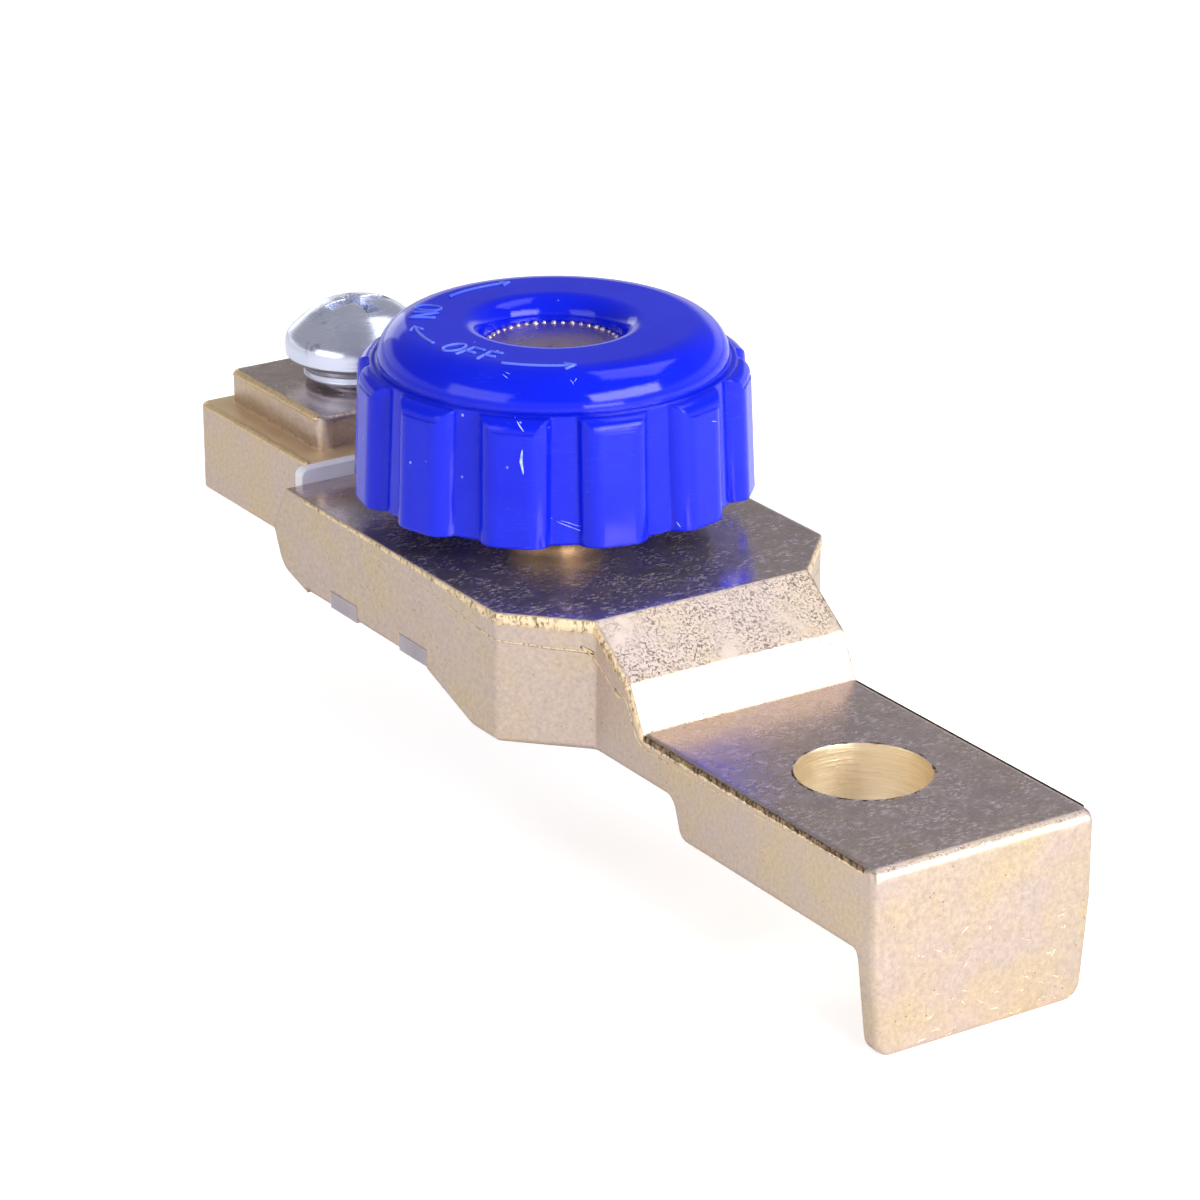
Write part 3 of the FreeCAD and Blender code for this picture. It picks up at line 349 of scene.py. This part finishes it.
def turned_metal(name, base, other, dark, axis, roughness, thread=None,
                 tint=(1.0, 1.0, 1.0, 1.0), painted_glow_share=0.0, metallic=1.0):
    """Metal with fine rings round a vertical axis, as a lathe leaves.

    roughness is its least and most. thread is (radius, top, pitch), and its roots get painted
    shade. tint colours the shank below the thread's top by painted_glow_share: the brass's own gold
    with a painted glow."""
    n = Surface(name)
    place = n.parts(n.place)
    dx = n.minus(place["X"], axis.x * MM)
    dy = n.minus(place["Y"], axis.y * MM)
    radius = n.length(dx, dy)
    rings = n.add("ShaderNodeCombineXYZ")
    n.link(n.times(radius, 6.0), rings.inputs["X"])
    n.link(n.times(place["Z"], 6.0), rings.inputs["Y"])
    turning = n.noise(900.0, 2.0, 0.6, rings.outputs["Vector"])
    cloud = n.noise(240.0, 4.0, 0.6)
    spot = n.span(n.noise(620.0, 3.0, 0.7), 0.60, 0.72)
    edge, rounded = n.edges(0.2 * MM)
    colour = n.mix(n.span(cloud, 0.35, 0.65), base, other)
    colour = n.mix(n.times(spot, 0.6), colour, dark)
    colour = n.mix(n.times(edge, 0.4), colour, rgb(250, 240, 232))
    normal = n.bump(turning, 0.02 * MM, 0.5, rounded)
    if thread:
        reach, top, pitch = thread
        turn = n.math("DIVIDE", n.math("ARCTAN2", dy, dx), 2.0 * math.pi)
        phase = n.math("FRACT", n.minus(n.math("DIVIDE", place["Z"], pitch * MM), turn))
        flank = n.math("ABSOLUTE", n.minus(phase, 0.5))
        shank = n.times(n.span(radius, (reach - 0.25) * MM, (reach - 0.05) * MM),
                        n.span(place["Z"], top * MM, (top - 0.1) * MM))
        # Painted glow: the shank below the thread's top is tinted a brighter gold
        colour = n.mix(n.times(shank, painted_glow_share), colour, tint)
        # Painted shade in the roots of the thread
        colour = n.mix(n.times(shank, n.span(flank, 0.14, 0.02, 0.0, 0.5)), colour, dark)
        normal = n.bump(n.times(flank, shank), 0.25 * pitch * MM, 0.8, normal)
    return n.finish(colour, n.span(turning, 0.3, 0.7, *roughness), normal, metallic=metallic)


def put_material(node, material):
    slots = cad[node].material_slots
    if not slots:
        cad[node].data.materials.append(material)
    for entry in slots:
        entry.material = material


battery_brass = brass_casting(
    "plated_brass", base=rgb(201, 182, 170), warm=rgb(207, 186, 149), dark=rgb(90, 70, 56))
cable_brass = brass_casting(
    "plated_brass_cable_side", base=rgb(207, 187, 173), warm=rgb(212, 188, 148),
    dark=rgb(88, 70, 58), ledge=BAR_TOP)
white_nylon = nylon("white_nylon", rgb(244, 242, 250), rgb(230, 226, 238))
# Nylon of the insulator plate, darkened with painted shade
nylon_in_painted_shade = nylon("nylon_in_painted_shade", rgb(186, 176, 182), rgb(160, 150, 158))
blue = blue_plastic("blue_plastic", rgb(3, 22, 204), rgb(8, 32, 214))
# The shank's brighter gold is the screw's brass with a painted glow
dull_brass = turned_metal(
    "turned_brass", rgb(208, 186, 184), rgb(220, 194, 176), rgb(112, 92, 92),
    KNOB_AXIS, roughness=(0.26, 0.38), thread=CONTACT_THREAD,
    tint=rgb(255, 220, 160), painted_glow_share=0.9)
bright_zinc = turned_metal(
    "bright_zinc_screw", rgb(228, 232, 250), rgb(212, 218, 240), rgb(150, 158, 186),
    TERMINAL_AXIS, roughness=(0.16, 0.30), thread=TERMINAL_THREAD, metallic=0.78)
grey_zinc = turned_metal(
    "zinc_plated_steel", rgb(190, 194, 200), rgb(172, 178, 186), rgb(96, 100, 108),
    TERMINAL_AXIS, roughness=(0.24, 0.36))
seam_brass = rough_brass("seam_brass", rgb(246, 222, 184), rgb(120, 94, 66))
seam_shadow = rough_brass("seam_shadow", rgb(176, 148, 116), rgb(70, 54, 40), torn=0.60)
nick_brass = rough_brass("nick_brass", rgb(150, 122, 90), rgb(60, 46, 36), torn=0.64)
# Pale gold of worn edges, also a painted highlight
worn_and_highlit_gold = rough_brass("worn_and_highlit_gold", rgb(244, 214, 168), rgb(222, 192, 150))
# Lettering paler than the knob: worn tops and a painted highlight on the strokes
letter_blue = blue_plastic("letter_blue_worn_and_highlit", rgb(52, 76, 236), rgb(110, 134, 250))
bright_burr = rough_brass("bright_burr", rgb(255, 240, 230), rgb(206, 184, 176))
pale_scuff = scuff_white("pale_scuff", rgb(120, 150, 240))

put_material("battery_side_casting", battery_brass)
put_material("cable_side_casting", cable_brass)
put_material("insulator_liner", white_nylon)
put_material("insulator_plate", nylon_in_painted_shade)
put_material("knob", blue)
put_material("contact_screw", dull_brass)
put_material("contact_pad", dull_brass)
put_material("terminal_screw", bright_zinc)
put_material("terminal_spring_washer", bright_zinc)
for plate_screw in ("front_left", "front_right", "rear_left", "rear_right"):
    put_material("plate_screw_" + plate_screw, grey_zinc)


# Shapes that follow a CAD surface
def surface_of(node):
    mesh = cad[node].data
    corners = [v.co for v in mesh.vertices]
    return BVHTree.FromPolygons(corners, [tuple(p.vertices) for p in mesh.polygons])


def new_piece(name, shape, material, body):
    bmesh.ops.recalc_face_normals(shape, faces=shape.faces)
    mesh = bpy.data.meshes.new(name)
    shape.to_mesh(mesh)
    shape.free()
    for face in mesh.polygons:
        face.use_smooth = True
    piece = bpy.data.objects.new(name, mesh)
    bpy.context.scene.collection.objects.link(piece)
    mesh.materials.append(material)
    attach(piece, body)
    return piece


def resample(points, step):
    """Points an even step apart along a broken line."""
    out = [points[0].copy()]
    for first, second in zip(points, points[1:]):
        count = max(1, round((second - first).length / step))
        out += [first.lerp(second, k / count) for k in range(1, count + 1)]
    return out


# Across and up, as shares of a ridge's half width and height
RIDGE_PROFILE = ((-1.0, 0.0), (-0.62, 0.8), (0.0, 1.0), (0.62, 0.8), (1.0, 0.0))


def ridge(shape, points, normals, half_width, height, sink=0.04, taper=True):
    """A low rounded ridge along points, with its foot sunk into the surface."""
    rows = []
    last = len(points) - 1
    for k, (point, normal) in enumerate(zip(points, normals)):
        ahead = points[min(k + 1, last)] - points[max(k - 1, 0)]
        side = normal.cross(ahead).normalized()
        share = min(1.0, 0.25 + 1.5 * min(k, last - k) / max(last, 1)) if taper else 1.0
        row = []
        for across, up in RIDGE_PROFILE:
            rise = up * (height + sink) * share - sink
            place = point + side * (across * half_width * share) + normal * rise
            row.append(shape.verts.new(place * MM))
        rows.append(row)
    count = len(RIDGE_PROFILE)
    for first, second in zip(rows, rows[1:]):
        for k in range(count):
            other = (k + 1) % count
            shape.faces.new((first[k], first[other], second[other], second[k]))
    shape.faces.new(rows[0])
    shape.faces.new(list(reversed(rows[-1])))


# Raised words and arrows on the knob, which show the ways to turn it
knob_surface = surface_of("knob")
ABOVE_KNOB = 40.0
LETTER_FOOT = 11.55
LETTER_HEIGHT = 2.1
LETTER_WIDTH = 1.35
LETTER_GAP = 0.5
LETTER_RING = LETTER_FOOT - LETTER_HEIGHT / 2
LETTER_STEP = 0.22
STROKE = 0.15
RELIEF = 0.15
ARROW_BACK = 0.75
ARROW_HALF = 0.5

# Each word with the angle of its middle, and each arrow with the angles of its tail and
# tip and its distance inwards from the letters' foot
WORDS = (("ON", -134.0), ("OFF", -70.0))
ARROWS = ((-90.0, -113.0, 0.35), (-53.0, -24.0, 0.0), (-158.0, -192.0, 1.2))


def ring_point(radius, angle):
    """The point on the knob's top at this distance and angle round its axis, and its normal."""
    spot = KNOB_AXIS + Vector((math.cos(angle), math.sin(angle), 0.0)) * radius
    hit, normal = knob_surface.ray_cast(Vector((spot.x, spot.y, ABOVE_KNOB)) * MM, -UP)[:2]
    return hit / MM, normal


def ring_stroke(shape, polar_points):
    """A stroke through (distance along the ring, distance inwards from the foot) pairs."""
    flat = [Vector((along, inwards, 0.0)) for along, inwards in polar_points]
    points, normals = [], []
    for place in resample(flat, LETTER_STEP):
        point, normal = ring_point(LETTER_FOOT - place.y, place.x / LETTER_RING)
        points.append(point)
        normals.append(normal)
    ridge(shape, points, normals, STROKE, RELIEF, taper=False)


def letter_strokes(letter):
    wide, tall = LETTER_WIDTH, LETTER_HEIGHT
    if letter == "O":
        turns = [math.radians(15 * k) for k in range(25)]
        return [[(wide / 2 - math.sin(t) * wide / 2, tall / 2 + math.cos(t) * tall / 2)
                 for t in turns]]
    if letter == "N":
        return [[(0, 0), (0, tall), (wide, 0), (wide, tall)]]
    return [[(0, 0), (0, tall), (wide * 0.9, tall)], [(0, tall * 0.52), (wide * 0.75, tall * 0.52)]]


def word(shape, letters, middle_degrees):
    around = math.radians(middle_degrees) * LETTER_RING
    start = around - (len(letters) * LETTER_WIDTH + (len(letters) - 1) * LETTER_GAP) / 2
    for k, letter in enumerate(letters):
        shift = start + k * (LETTER_WIDTH + LETTER_GAP)
        for stroke in letter_strokes(letter):
            ring_stroke(shape, [(shift + along, inwards) for along, inwards in stroke])


def arrow(shape, from_degrees, to_degrees, inwards):
    """A curved arrow along the ring, with its head at to_degrees."""
    start = math.radians(from_degrees) * LETTER_RING
    tip = math.radians(to_degrees) * LETTER_RING
    barb = tip + (ARROW_BACK if tip < start else -ARROW_BACK)
    ring_stroke(shape, [(start, inwards), (tip, inwards)])
    ring_stroke(shape, [(barb, inwards + ARROW_HALF), (tip, inwards), (barb, inwards - ARROW_HALF)])


def make_lettering():
    shape = bmesh.new()
    for letters, middle in WORDS:
        word(shape, letters, middle)
    for tail, tip, inwards in ARROWS:
        arrow(shape, tail, tip, inwards)
    new_piece("knob_lettering", shape, letter_blue, "knob_body")


# Scuffs on the knob, put where the photograph shows them: pixels and half width
SCUFFS = (
    (((523, 443), (522, 452), (521, 462), (523, 472), (524, 481)), 0.15),
    (((515, 417), (519, 425), (526, 435)), 0.06),
    (((549, 517), (560, 523), (573, 528), (590, 534)), 0.03),
    (((553, 519), (566, 522), (588, 529)), 0.025),
    (((675, 520), (682, 529)), 0.05),
    (((710, 421), (720, 422)), 0.035),
    (((569, 378), (573, 383), (574, 387)), 0.035),
    (((577, 377), (574, 383)), 0.035),
    (((501, 373), (510, 380)), 0.03),
    (((503, 371), (512, 375)), 0.025),
    (((446, 455), (446, 456)), 0.08),
    (((442, 474), (442, 475)), 0.07),
    (((415, 506), (416, 506)), 0.06),
    (((524, 393), (525, 395)), 0.06),
    (((612, 416), (613, 417)), 0.07),
    (((700, 432), (701, 433)), 0.06),
    (((517, 511), (518, 512)), 0.06),
    (((493, 545), (495, 547)), 0.08),
)
SCUFF_STEP = 2.0
SCUFF_HEIGHT = 0.02


def through_pixel(x, y, surface):
    """Where the line of sight through a pixel of the photograph meets a surface, and its normal."""
    focal = CAMERA_LENS / SENSOR_WIDTH * PHOTO_SIDE
    half = PHOTO_SIDE / 2
    turn = Matrix.Rotation(math.radians(CAMERA_AZIMUTH), 3, "Z")
    turn = turn @ Matrix.Rotation(math.radians(90.0 - CAMERA_ELEVATION), 3, "X")
    sight = turn @ Vector(((x - half) / focal, (half - y) / focal, -1.0)).normalized()
    hit, normal = surface.ray_cast(Vector(CAMERA_PLACE), sight)[:2]
    return (hit / MM, normal) if hit else None


def make_scuffs():
    shape = bmesh.new()
    for pixels, half_width in SCUFFS:
        ends = resample([Vector((x, y, 0.0)) for x, y in pixels], SCUFF_STEP)
        found = [through_pixel(p.x, p.y, knob_surface) for p in ends]
        ridge(shape, [f[0] for f in found], [f[1] for f in found], half_width, SCUFF_HEIGHT,
              sink=0.02)
    new_piece("knob_scuffs", shape, pale_scuff, "knob_body")


# Burrs of the knurl, round the top of the contact screw
BURR_COUNT = 44
BURR_RING = 5.33
BURR_WANDER = 0.06
BURR_SIZE = (0.17, 0.27)
BURR_SINK = 0.05


def burr_corners(shape, middle, outwards, along, size, rise):
    """The four corners of a burr at one height above its middle."""
    corners = ((-1, -1), (1, -1), (1, 1), (-1, 1))
    return [shape.verts.new((middle + (outwards * a + along * b) * size + UP * rise) * MM)
            for a, b in corners]


def make_knurl_burrs():
    shape = bmesh.new()
    for k in range(BURR_COUNT):
        angle = 2.0 * math.pi * k / BURR_COUNT
        size = random.uniform(*BURR_SIZE)
        outwards = Vector((math.cos(angle), math.sin(angle), 0.0))
        along = Vector((-outwards.y, outwards.x, 0.0))
        reach = BURR_RING + random.uniform(-BURR_WANDER, BURR_WANDER)
        middle = KNOB_AXIS + outwards * reach + UP * CONTACT_SCREW_TOP
        low = burr_corners(shape, middle, outwards, along, size, -BURR_SINK)
        high = burr_corners(shape, middle, outwards, along, size * 0.45, size * 0.7)
        for j in range(4):
            shape.faces.new((low[j], low[(j + 1) % 4], high[(j + 1) % 4], high[j]))
        shape.faces.new(high)
        shape.faces.new(list(reversed(low)))
    new_piece("contact_screw_burrs", shape, bright_burr, "knob_body")


# Marks on the folded end: a slanting band in the photograph, in shares of its side
casting_surface = surface_of("battery_side_casting")
MARK_TRIES = 44
MARK_ACROSS = (0.755, 0.895)
MARK_FOOT = 0.80
MARK_BAND = 0.035
MARK_SLOPE = 0.30
MARK_LIFT = (0.02, 0.08)
MARK_PIXELS = (5.0, 15.0)
MARK_HEIGHT = 0.035
END_FACE_NORMAL = 0.8


def make_end_marks():
    """Short curved marks on the folded end, thickest at its lower right."""
    shape = bmesh.new()
    for k in range(MARK_TRIES):
        across = random.uniform(*MARK_ACROSS)
        down = MARK_FOOT + MARK_BAND * random.random() - MARK_SLOPE * (across - MARK_ACROSS[1])
        if k % 3 == 0:
            down -= random.uniform(*MARK_LIFT)
        x, y = PHOTO_SIDE * across, PHOTO_SIDE * down
        length, bow = random.uniform(*MARK_PIXELS), random.uniform(-2.5, 2.5)
        lean = random.uniform(-1.1, 0.5)
        pixels = []
        for share in (-0.5, -0.25, 0.0, 0.25, 0.5):
            along, off = share * length, bow * (1.0 - 4.0 * share * share)
            pixels.append((x + along * math.cos(lean) - off * math.sin(lean),
                           y + along * math.sin(lean) + off * math.cos(lean)))
        found = [through_pixel(px, py, casting_surface) for px, py in pixels]
        if any(f is None or f[1].x < END_FACE_NORMAL for f in found):
            continue
        ridge(shape, [f[0] for f in found], [f[1] for f in found],
              random.uniform(0.04, 0.08), MARK_HEIGHT, sink=0.02)
    new_piece("end_face_marks", shape, seam_brass, "switch_body")


# Nicks at the bolt hole
NICK_COUNT = 30
NICK_STEPS = 6
NICK_HEIGHT = 0.05


def make_hole_nicks():
    """Small nicks where the drill broke through the rim of the bolt hole."""
    shape = bmesh.new()
    for k in range(NICK_COUNT):
        start = random.uniform(0.0, 2.0 * math.pi)
        sweep = random.uniform(0.05, 0.30)
        reach = HOLE_RIM + random.uniform(-0.03, 0.05)
        points = []
        for step in range(NICK_STEPS + 1):
            angle = start + sweep * step / NICK_STEPS
            wave = reach + 0.04 * noise.noise(Vector((angle * 9.0, k * 3.1, 0.0)))
            points.append(Vector((math.cos(angle) * wave, math.sin(angle) * wave, TAB_TOP)))
        ridge(shape, points, [UP] * len(points), random.uniform(0.07, 0.14), NICK_HEIGHT,
              sink=0.03)
    new_piece("bolt_hole_nicks", shape, nick_brass, "switch_body")


# Bare edges of the boss and the bar, pale as worn metal and as a painted highlight: rear and front
# end, distance from the centre line, height and half width
WORN_AND_HIGHLIT_EDGES = (
    (-78.4, -63.9, 10.2, BOSS_TOP, 0.34),
    (-79.6, -61.6, 12.6, BAR_TOP, 0.26),
)
EDGE_RIDGE_STEP = 0.4
EDGE_RIDGE_HEIGHT = 0.05


def make_worn_and_highlit_edges():
    """Bare golden metal and a painted highlight along the upper edges of the cable side's bar and
    boss.
    """
    surface = surface_of("cable_side_casting")
    shape = bmesh.new()
    for rear, front, half, top, half_width in WORN_AND_HIGHLIT_EDGES:
        for side in (1.0, -1.0):
            line = [Vector((rear, side * half, top)), Vector((front, side * half, top))]
            points, normals = [], []
            for spot in resample(line, EDGE_RIDGE_STEP):
                wander = 0.06 * noise.noise(spot * 0.8)
                hit, normal = surface.find_nearest((spot + UP * wander) * MM)[:2]
                points.append(hit / MM)
                normals.append(normal)
            ridge(shape, points, normals, half_width, EDGE_RIDGE_HEIGHT, sink=0.02, taper=False)
    new_piece("cable_casting_worn_and_highlit_edges", shape, worn_and_highlit_gold, "switch_body")


# Seams of the casting: a torn lip along its top edges and a fine step below. The rim runs
# from the body to the tab's end: x, distance from the centre line, height, width of the lip
RIM = (
    (-57.0, BODY_HALF, BODY_TOP, 0.35),
    (-38.0, BODY_HALF, BODY_TOP, 0.55),
    (-27.15, BODY_HALF, BODY_TOP, 0.95),
    (-21.5, TAB_HALF, BODY_TOP, 1.10),
    (-16.5, TAB_HALF, 10.5, 0.95),
    (-14.7, TAB_HALF, TAB_TOP, 0.85),
    (-4.0, TAB_HALF, TAB_TOP, 0.75),
    (13.6, TAB_HALF, TAB_TOP, 0.60),
)
SLOPE_FOOT = -14.7
TOP_LEVELS = 10.0
LIP_STEP = 0.17
LIP_ROWS = 7
LIP_SHADOW_ROWS = 4
SEAM_STEP = 0.5


def rim_samples(side, step):
    """Points down one side's rim, each with the ways out of and across the wall, and the width."""
    out = []
    for first, second in zip(RIM, RIM[1:]):
        start = Vector((first[0], side * first[1], first[2]))
        end = Vector((second[0], side * second[1], second[2]))
        way = (end - start).normalized()
        level = Vector((way.x, way.y, 0.0)).normalized()
        outwards = Vector((level.y, -level.x, 0.0)) * -side
        across = way.cross(outwards) * -side
        if across.z > 0.0:
            across = -across
        count = max(2, round((end - start).length / step))
        for k in range(count + 1):
            share = k / count
            width = first[3] + (second[3] - first[3]) * share
            out.append((start.lerp(end, share), outwards, across, width))
    return out


def make_lip(name, side):
    """Torn metal below the rim. Along the tab, its upper rows are dark on the right side."""
    shape = bmesh.new()
    columns = []
    for place, outwards, across, width in rim_samples(side, LIP_STEP):
        column = []
        for k in range(LIP_ROWS + 1):
            share = k / LIP_ROWS
            swell = math.sin(math.pi * share) ** 0.6
            wide_spot = Vector((place.x * 2.6, place.y * 2.6, place.z * 2.6 + share * 0.8))
            fine_spot = Vector((place.x * 7.0, side * 3.0 + place.z * 7.0, share * 4.0))
            tear = noise.noise(wide_spot)
            chip = noise.noise(fine_spot) * (0.14 if place.x > SLOPE_FOOT else 0.07)
            rise = (0.11 + 0.08 * tear + chip) * (0.35 + 0.65 * width) * swell
            rise -= 0.03 * (1.0 - swell)
            ragged = 1.0 + 0.22 * tear * share
            point = place + across * (0.05 + width * share * ragged) + outwards * rise
            column.append(shape.verts.new(point * MM))
        columns.append(column)
    for first, second in zip(columns, columns[1:]):
        for k in range(LIP_ROWS):
            face = shape.faces.new((first[k], first[k + 1], second[k + 1], second[k]))
            on_tab = first[k].co.x > SLOPE_FOOT * MM
            face.material_index = 1 if on_tab and k < LIP_SHADOW_ROWS else 0
    piece = new_piece(name, shape, seam_brass, "switch_body")
    piece.data.materials.append(seam_shadow if side < 0.0 else battery_brass)


def make_seam(name, side, extra, half_width, height, material):
    """A fine step in the wall below the lip."""
    shape = bmesh.new()
    points, normals = [], []
    for place, _, across, width in rim_samples(side, SEAM_STEP):
        drop = (2.0 * width + 0.45 if place.z > TOP_LEVELS else width + 0.35) + extra
        wander = 0.05 * noise.noise(Vector((place.x * 0.9, side * 5.0, place.z * 0.9)))
        point = place + across * (drop + wander)
        hit, normal = casting_surface.find_nearest(point * MM)[:2]
        points.append(hit / MM)
        normals.append(normal)
    ridge(shape, points, normals, half_width, height)
    new_piece(name, shape, material, "switch_body")


make_lettering()
make_scuffs()
make_knurl_burrs()
make_end_marks()
make_hole_nicks()
make_worn_and_highlit_edges()
for hand, sign in (("left", 1.0), ("right", -1.0)):
    make_lip("casting_lip_" + hand, sign)
    make_seam("casting_seam_" + hand, sign, 0.0, 0.10, 0.06, seam_brass)
    make_seam("casting_seam_line_" + hand, sign, 0.12, 0.04, 0.01, seam_shadow)


# Stage: a pale floor, a pale world and five soft lamps
FLOOR_HALF = 4.0
FLOOR_GAP = 0.00002
FLOOR_GLOW_SEEN = 0.55
FLOOR_GLOW_MIRRORED = 0.12

# The world's light, what mirrors see of it high up, and the backdrop. Mirrors see the
# backdrop up to one angle above the floor, in degrees, and the room from the other
ROOM_LIGHT = (0.46, 0.46, 0.47, 1.0)
ROOM_MIRRORED = (0.25, 0.25, 0.27, 1.0)
BACKDROP = (0.96, 0.96, 0.97, 1.0)
BACKDROP_UP_TO = 9.0
ROOM_FROM = 16.0

LAMP_TARGET = Vector((-30.0, 0.0, 10.0)) * MM
# Name, angle round +Z from +X and above the floor in degrees, distance, width, height, radiance
LAMPS = (
    ("right_softbox", 17.0, 24.0, 0.42, 0.36, 0.175, 10.0),
    ("low_strip", -2.0, 4.0, 0.17, 0.08, 0.020, 8.0),
    ("ceiling_softbox", 80.0, 62.0, 0.45, 0.25, 0.22, 2.3),
    ("left_softbox", -84.0, 22.0, 0.40, 0.30, 0.18, 2.6),
    ("rear_card", 168.0, 11.0, 0.45, 0.13, 0.17, 1.0),
)


def make_floor():
    """A pale floor that keeps the shadow and glows a little to the camera and to mirrors."""
    mesh = bpy.data.meshes.new("floor")
    shape = bmesh.new()
    bmesh.ops.create_grid(shape, x_segments=8, y_segments=8, size=FLOOR_HALF)
    shape.to_mesh(mesh)
    shape.free()
    floor = bpy.data.objects.new("floor", mesh)
    floor.location = (0.0, 0.0, FLOOR_LEVEL * MM - FLOOR_GAP)
    bpy.context.scene.collection.objects.link(floor)
    n = Surface("white_floor")
    rays = n.add("ShaderNodeLightPath").outputs
    mirrored = n.math("MAXIMUM", rays["Is Glossy Ray"], rays["Is Transmission Ray"])
    glow = n.plus(n.times(rays["Is Camera Ray"], FLOOR_GLOW_SEEN),
                  n.times(mirrored, FLOOR_GLOW_MIRRORED))
    n.link(glow, n.shader.inputs["Emission Strength"])
    n.shader.inputs["Emission Color"].default_value = (1.0, 1.0, 1.0, 1.0)
    n.shader.inputs["Specular IOR Level"].default_value = 0.0
    tint = n.mix(n.noise(6.0, 2.0), rgb(244, 244, 245), rgb(247, 247, 247))
    floor.data.materials.append(n.finish(tint, 0.9))


def make_lamp(name, azimuth, elevation, distance, width, height, radiance):
    """A soft rectangle that looks at the part from a direction in the CAD frame."""
    lamp = bpy.data.lights.new(name, "AREA")
    lamp.shape = "RECTANGLE"
    lamp.size = width
    lamp.size_y = height
    lamp.energy = radiance * width * height * math.pi
    around, up = math.radians(azimuth), math.radians(elevation)
    way = Vector((math.cos(up) * math.cos(around), math.cos(up) * math.sin(around), math.sin(up)))
    way.normalize()
    holder = bpy.data.objects.new(name, lamp)
    holder.location = LAMP_TARGET + way * distance
    holder.rotation_euler = way.to_track_quat("Z", "Y").to_euler()
    bpy.context.scene.collection.objects.link(holder)


def make_world():
    """White to the camera and, low down, to mirrors. Otherwise a plain grey room."""
    world = bpy.data.worlds.new("studio")
    world.use_nodes = True
    t = Tree(world.node_tree)
    height = t.parts(t.add("ShaderNodeTexCoord").outputs["Generated"])["Z"]
    low_down = t.span(height, math.sin(math.radians(BACKDROP_UP_TO)),
                      math.sin(math.radians(ROOM_FROM)), 1.0, 0.0, "SMOOTHSTEP")
    rays = t.add("ShaderNodeLightPath").outputs
    white = t.math("MAXIMUM", rays["Is Camera Ray"], t.times(low_down, rays["Is Glossy Ray"]))
    room = t.mix(rays["Is Glossy Ray"], ROOM_LIGHT, ROOM_MIRRORED)
    back = t.tree.nodes["Background"]
    t.link(t.mix(white, room, BACKDROP), back.inputs["Color"])
    back.inputs["Strength"].default_value = 1.0
    bpy.context.scene.world = world


def make_camera():
    lens = bpy.data.cameras.new("photo_camera")
    lens.lens = CAMERA_LENS
    lens.sensor_width = SENSOR_WIDTH
    lens.clip_start = 0.01
    lens.clip_end = 20.0
    camera = bpy.data.objects.new("photo_camera", lens)
    camera.location = CAMERA_PLACE
    camera.rotation_euler = (math.radians(90.0 - CAMERA_ELEVATION), 0.0,
                             math.radians(CAMERA_AZIMUTH))
    bpy.context.scene.collection.objects.link(camera)
    bpy.context.scene.camera = camera


make_floor()
make_world()
for lamp_settings in LAMPS:
    make_lamp(*lamp_settings)
make_camera()
bpy.context.scene.view_settings.view_transform = "Standard"
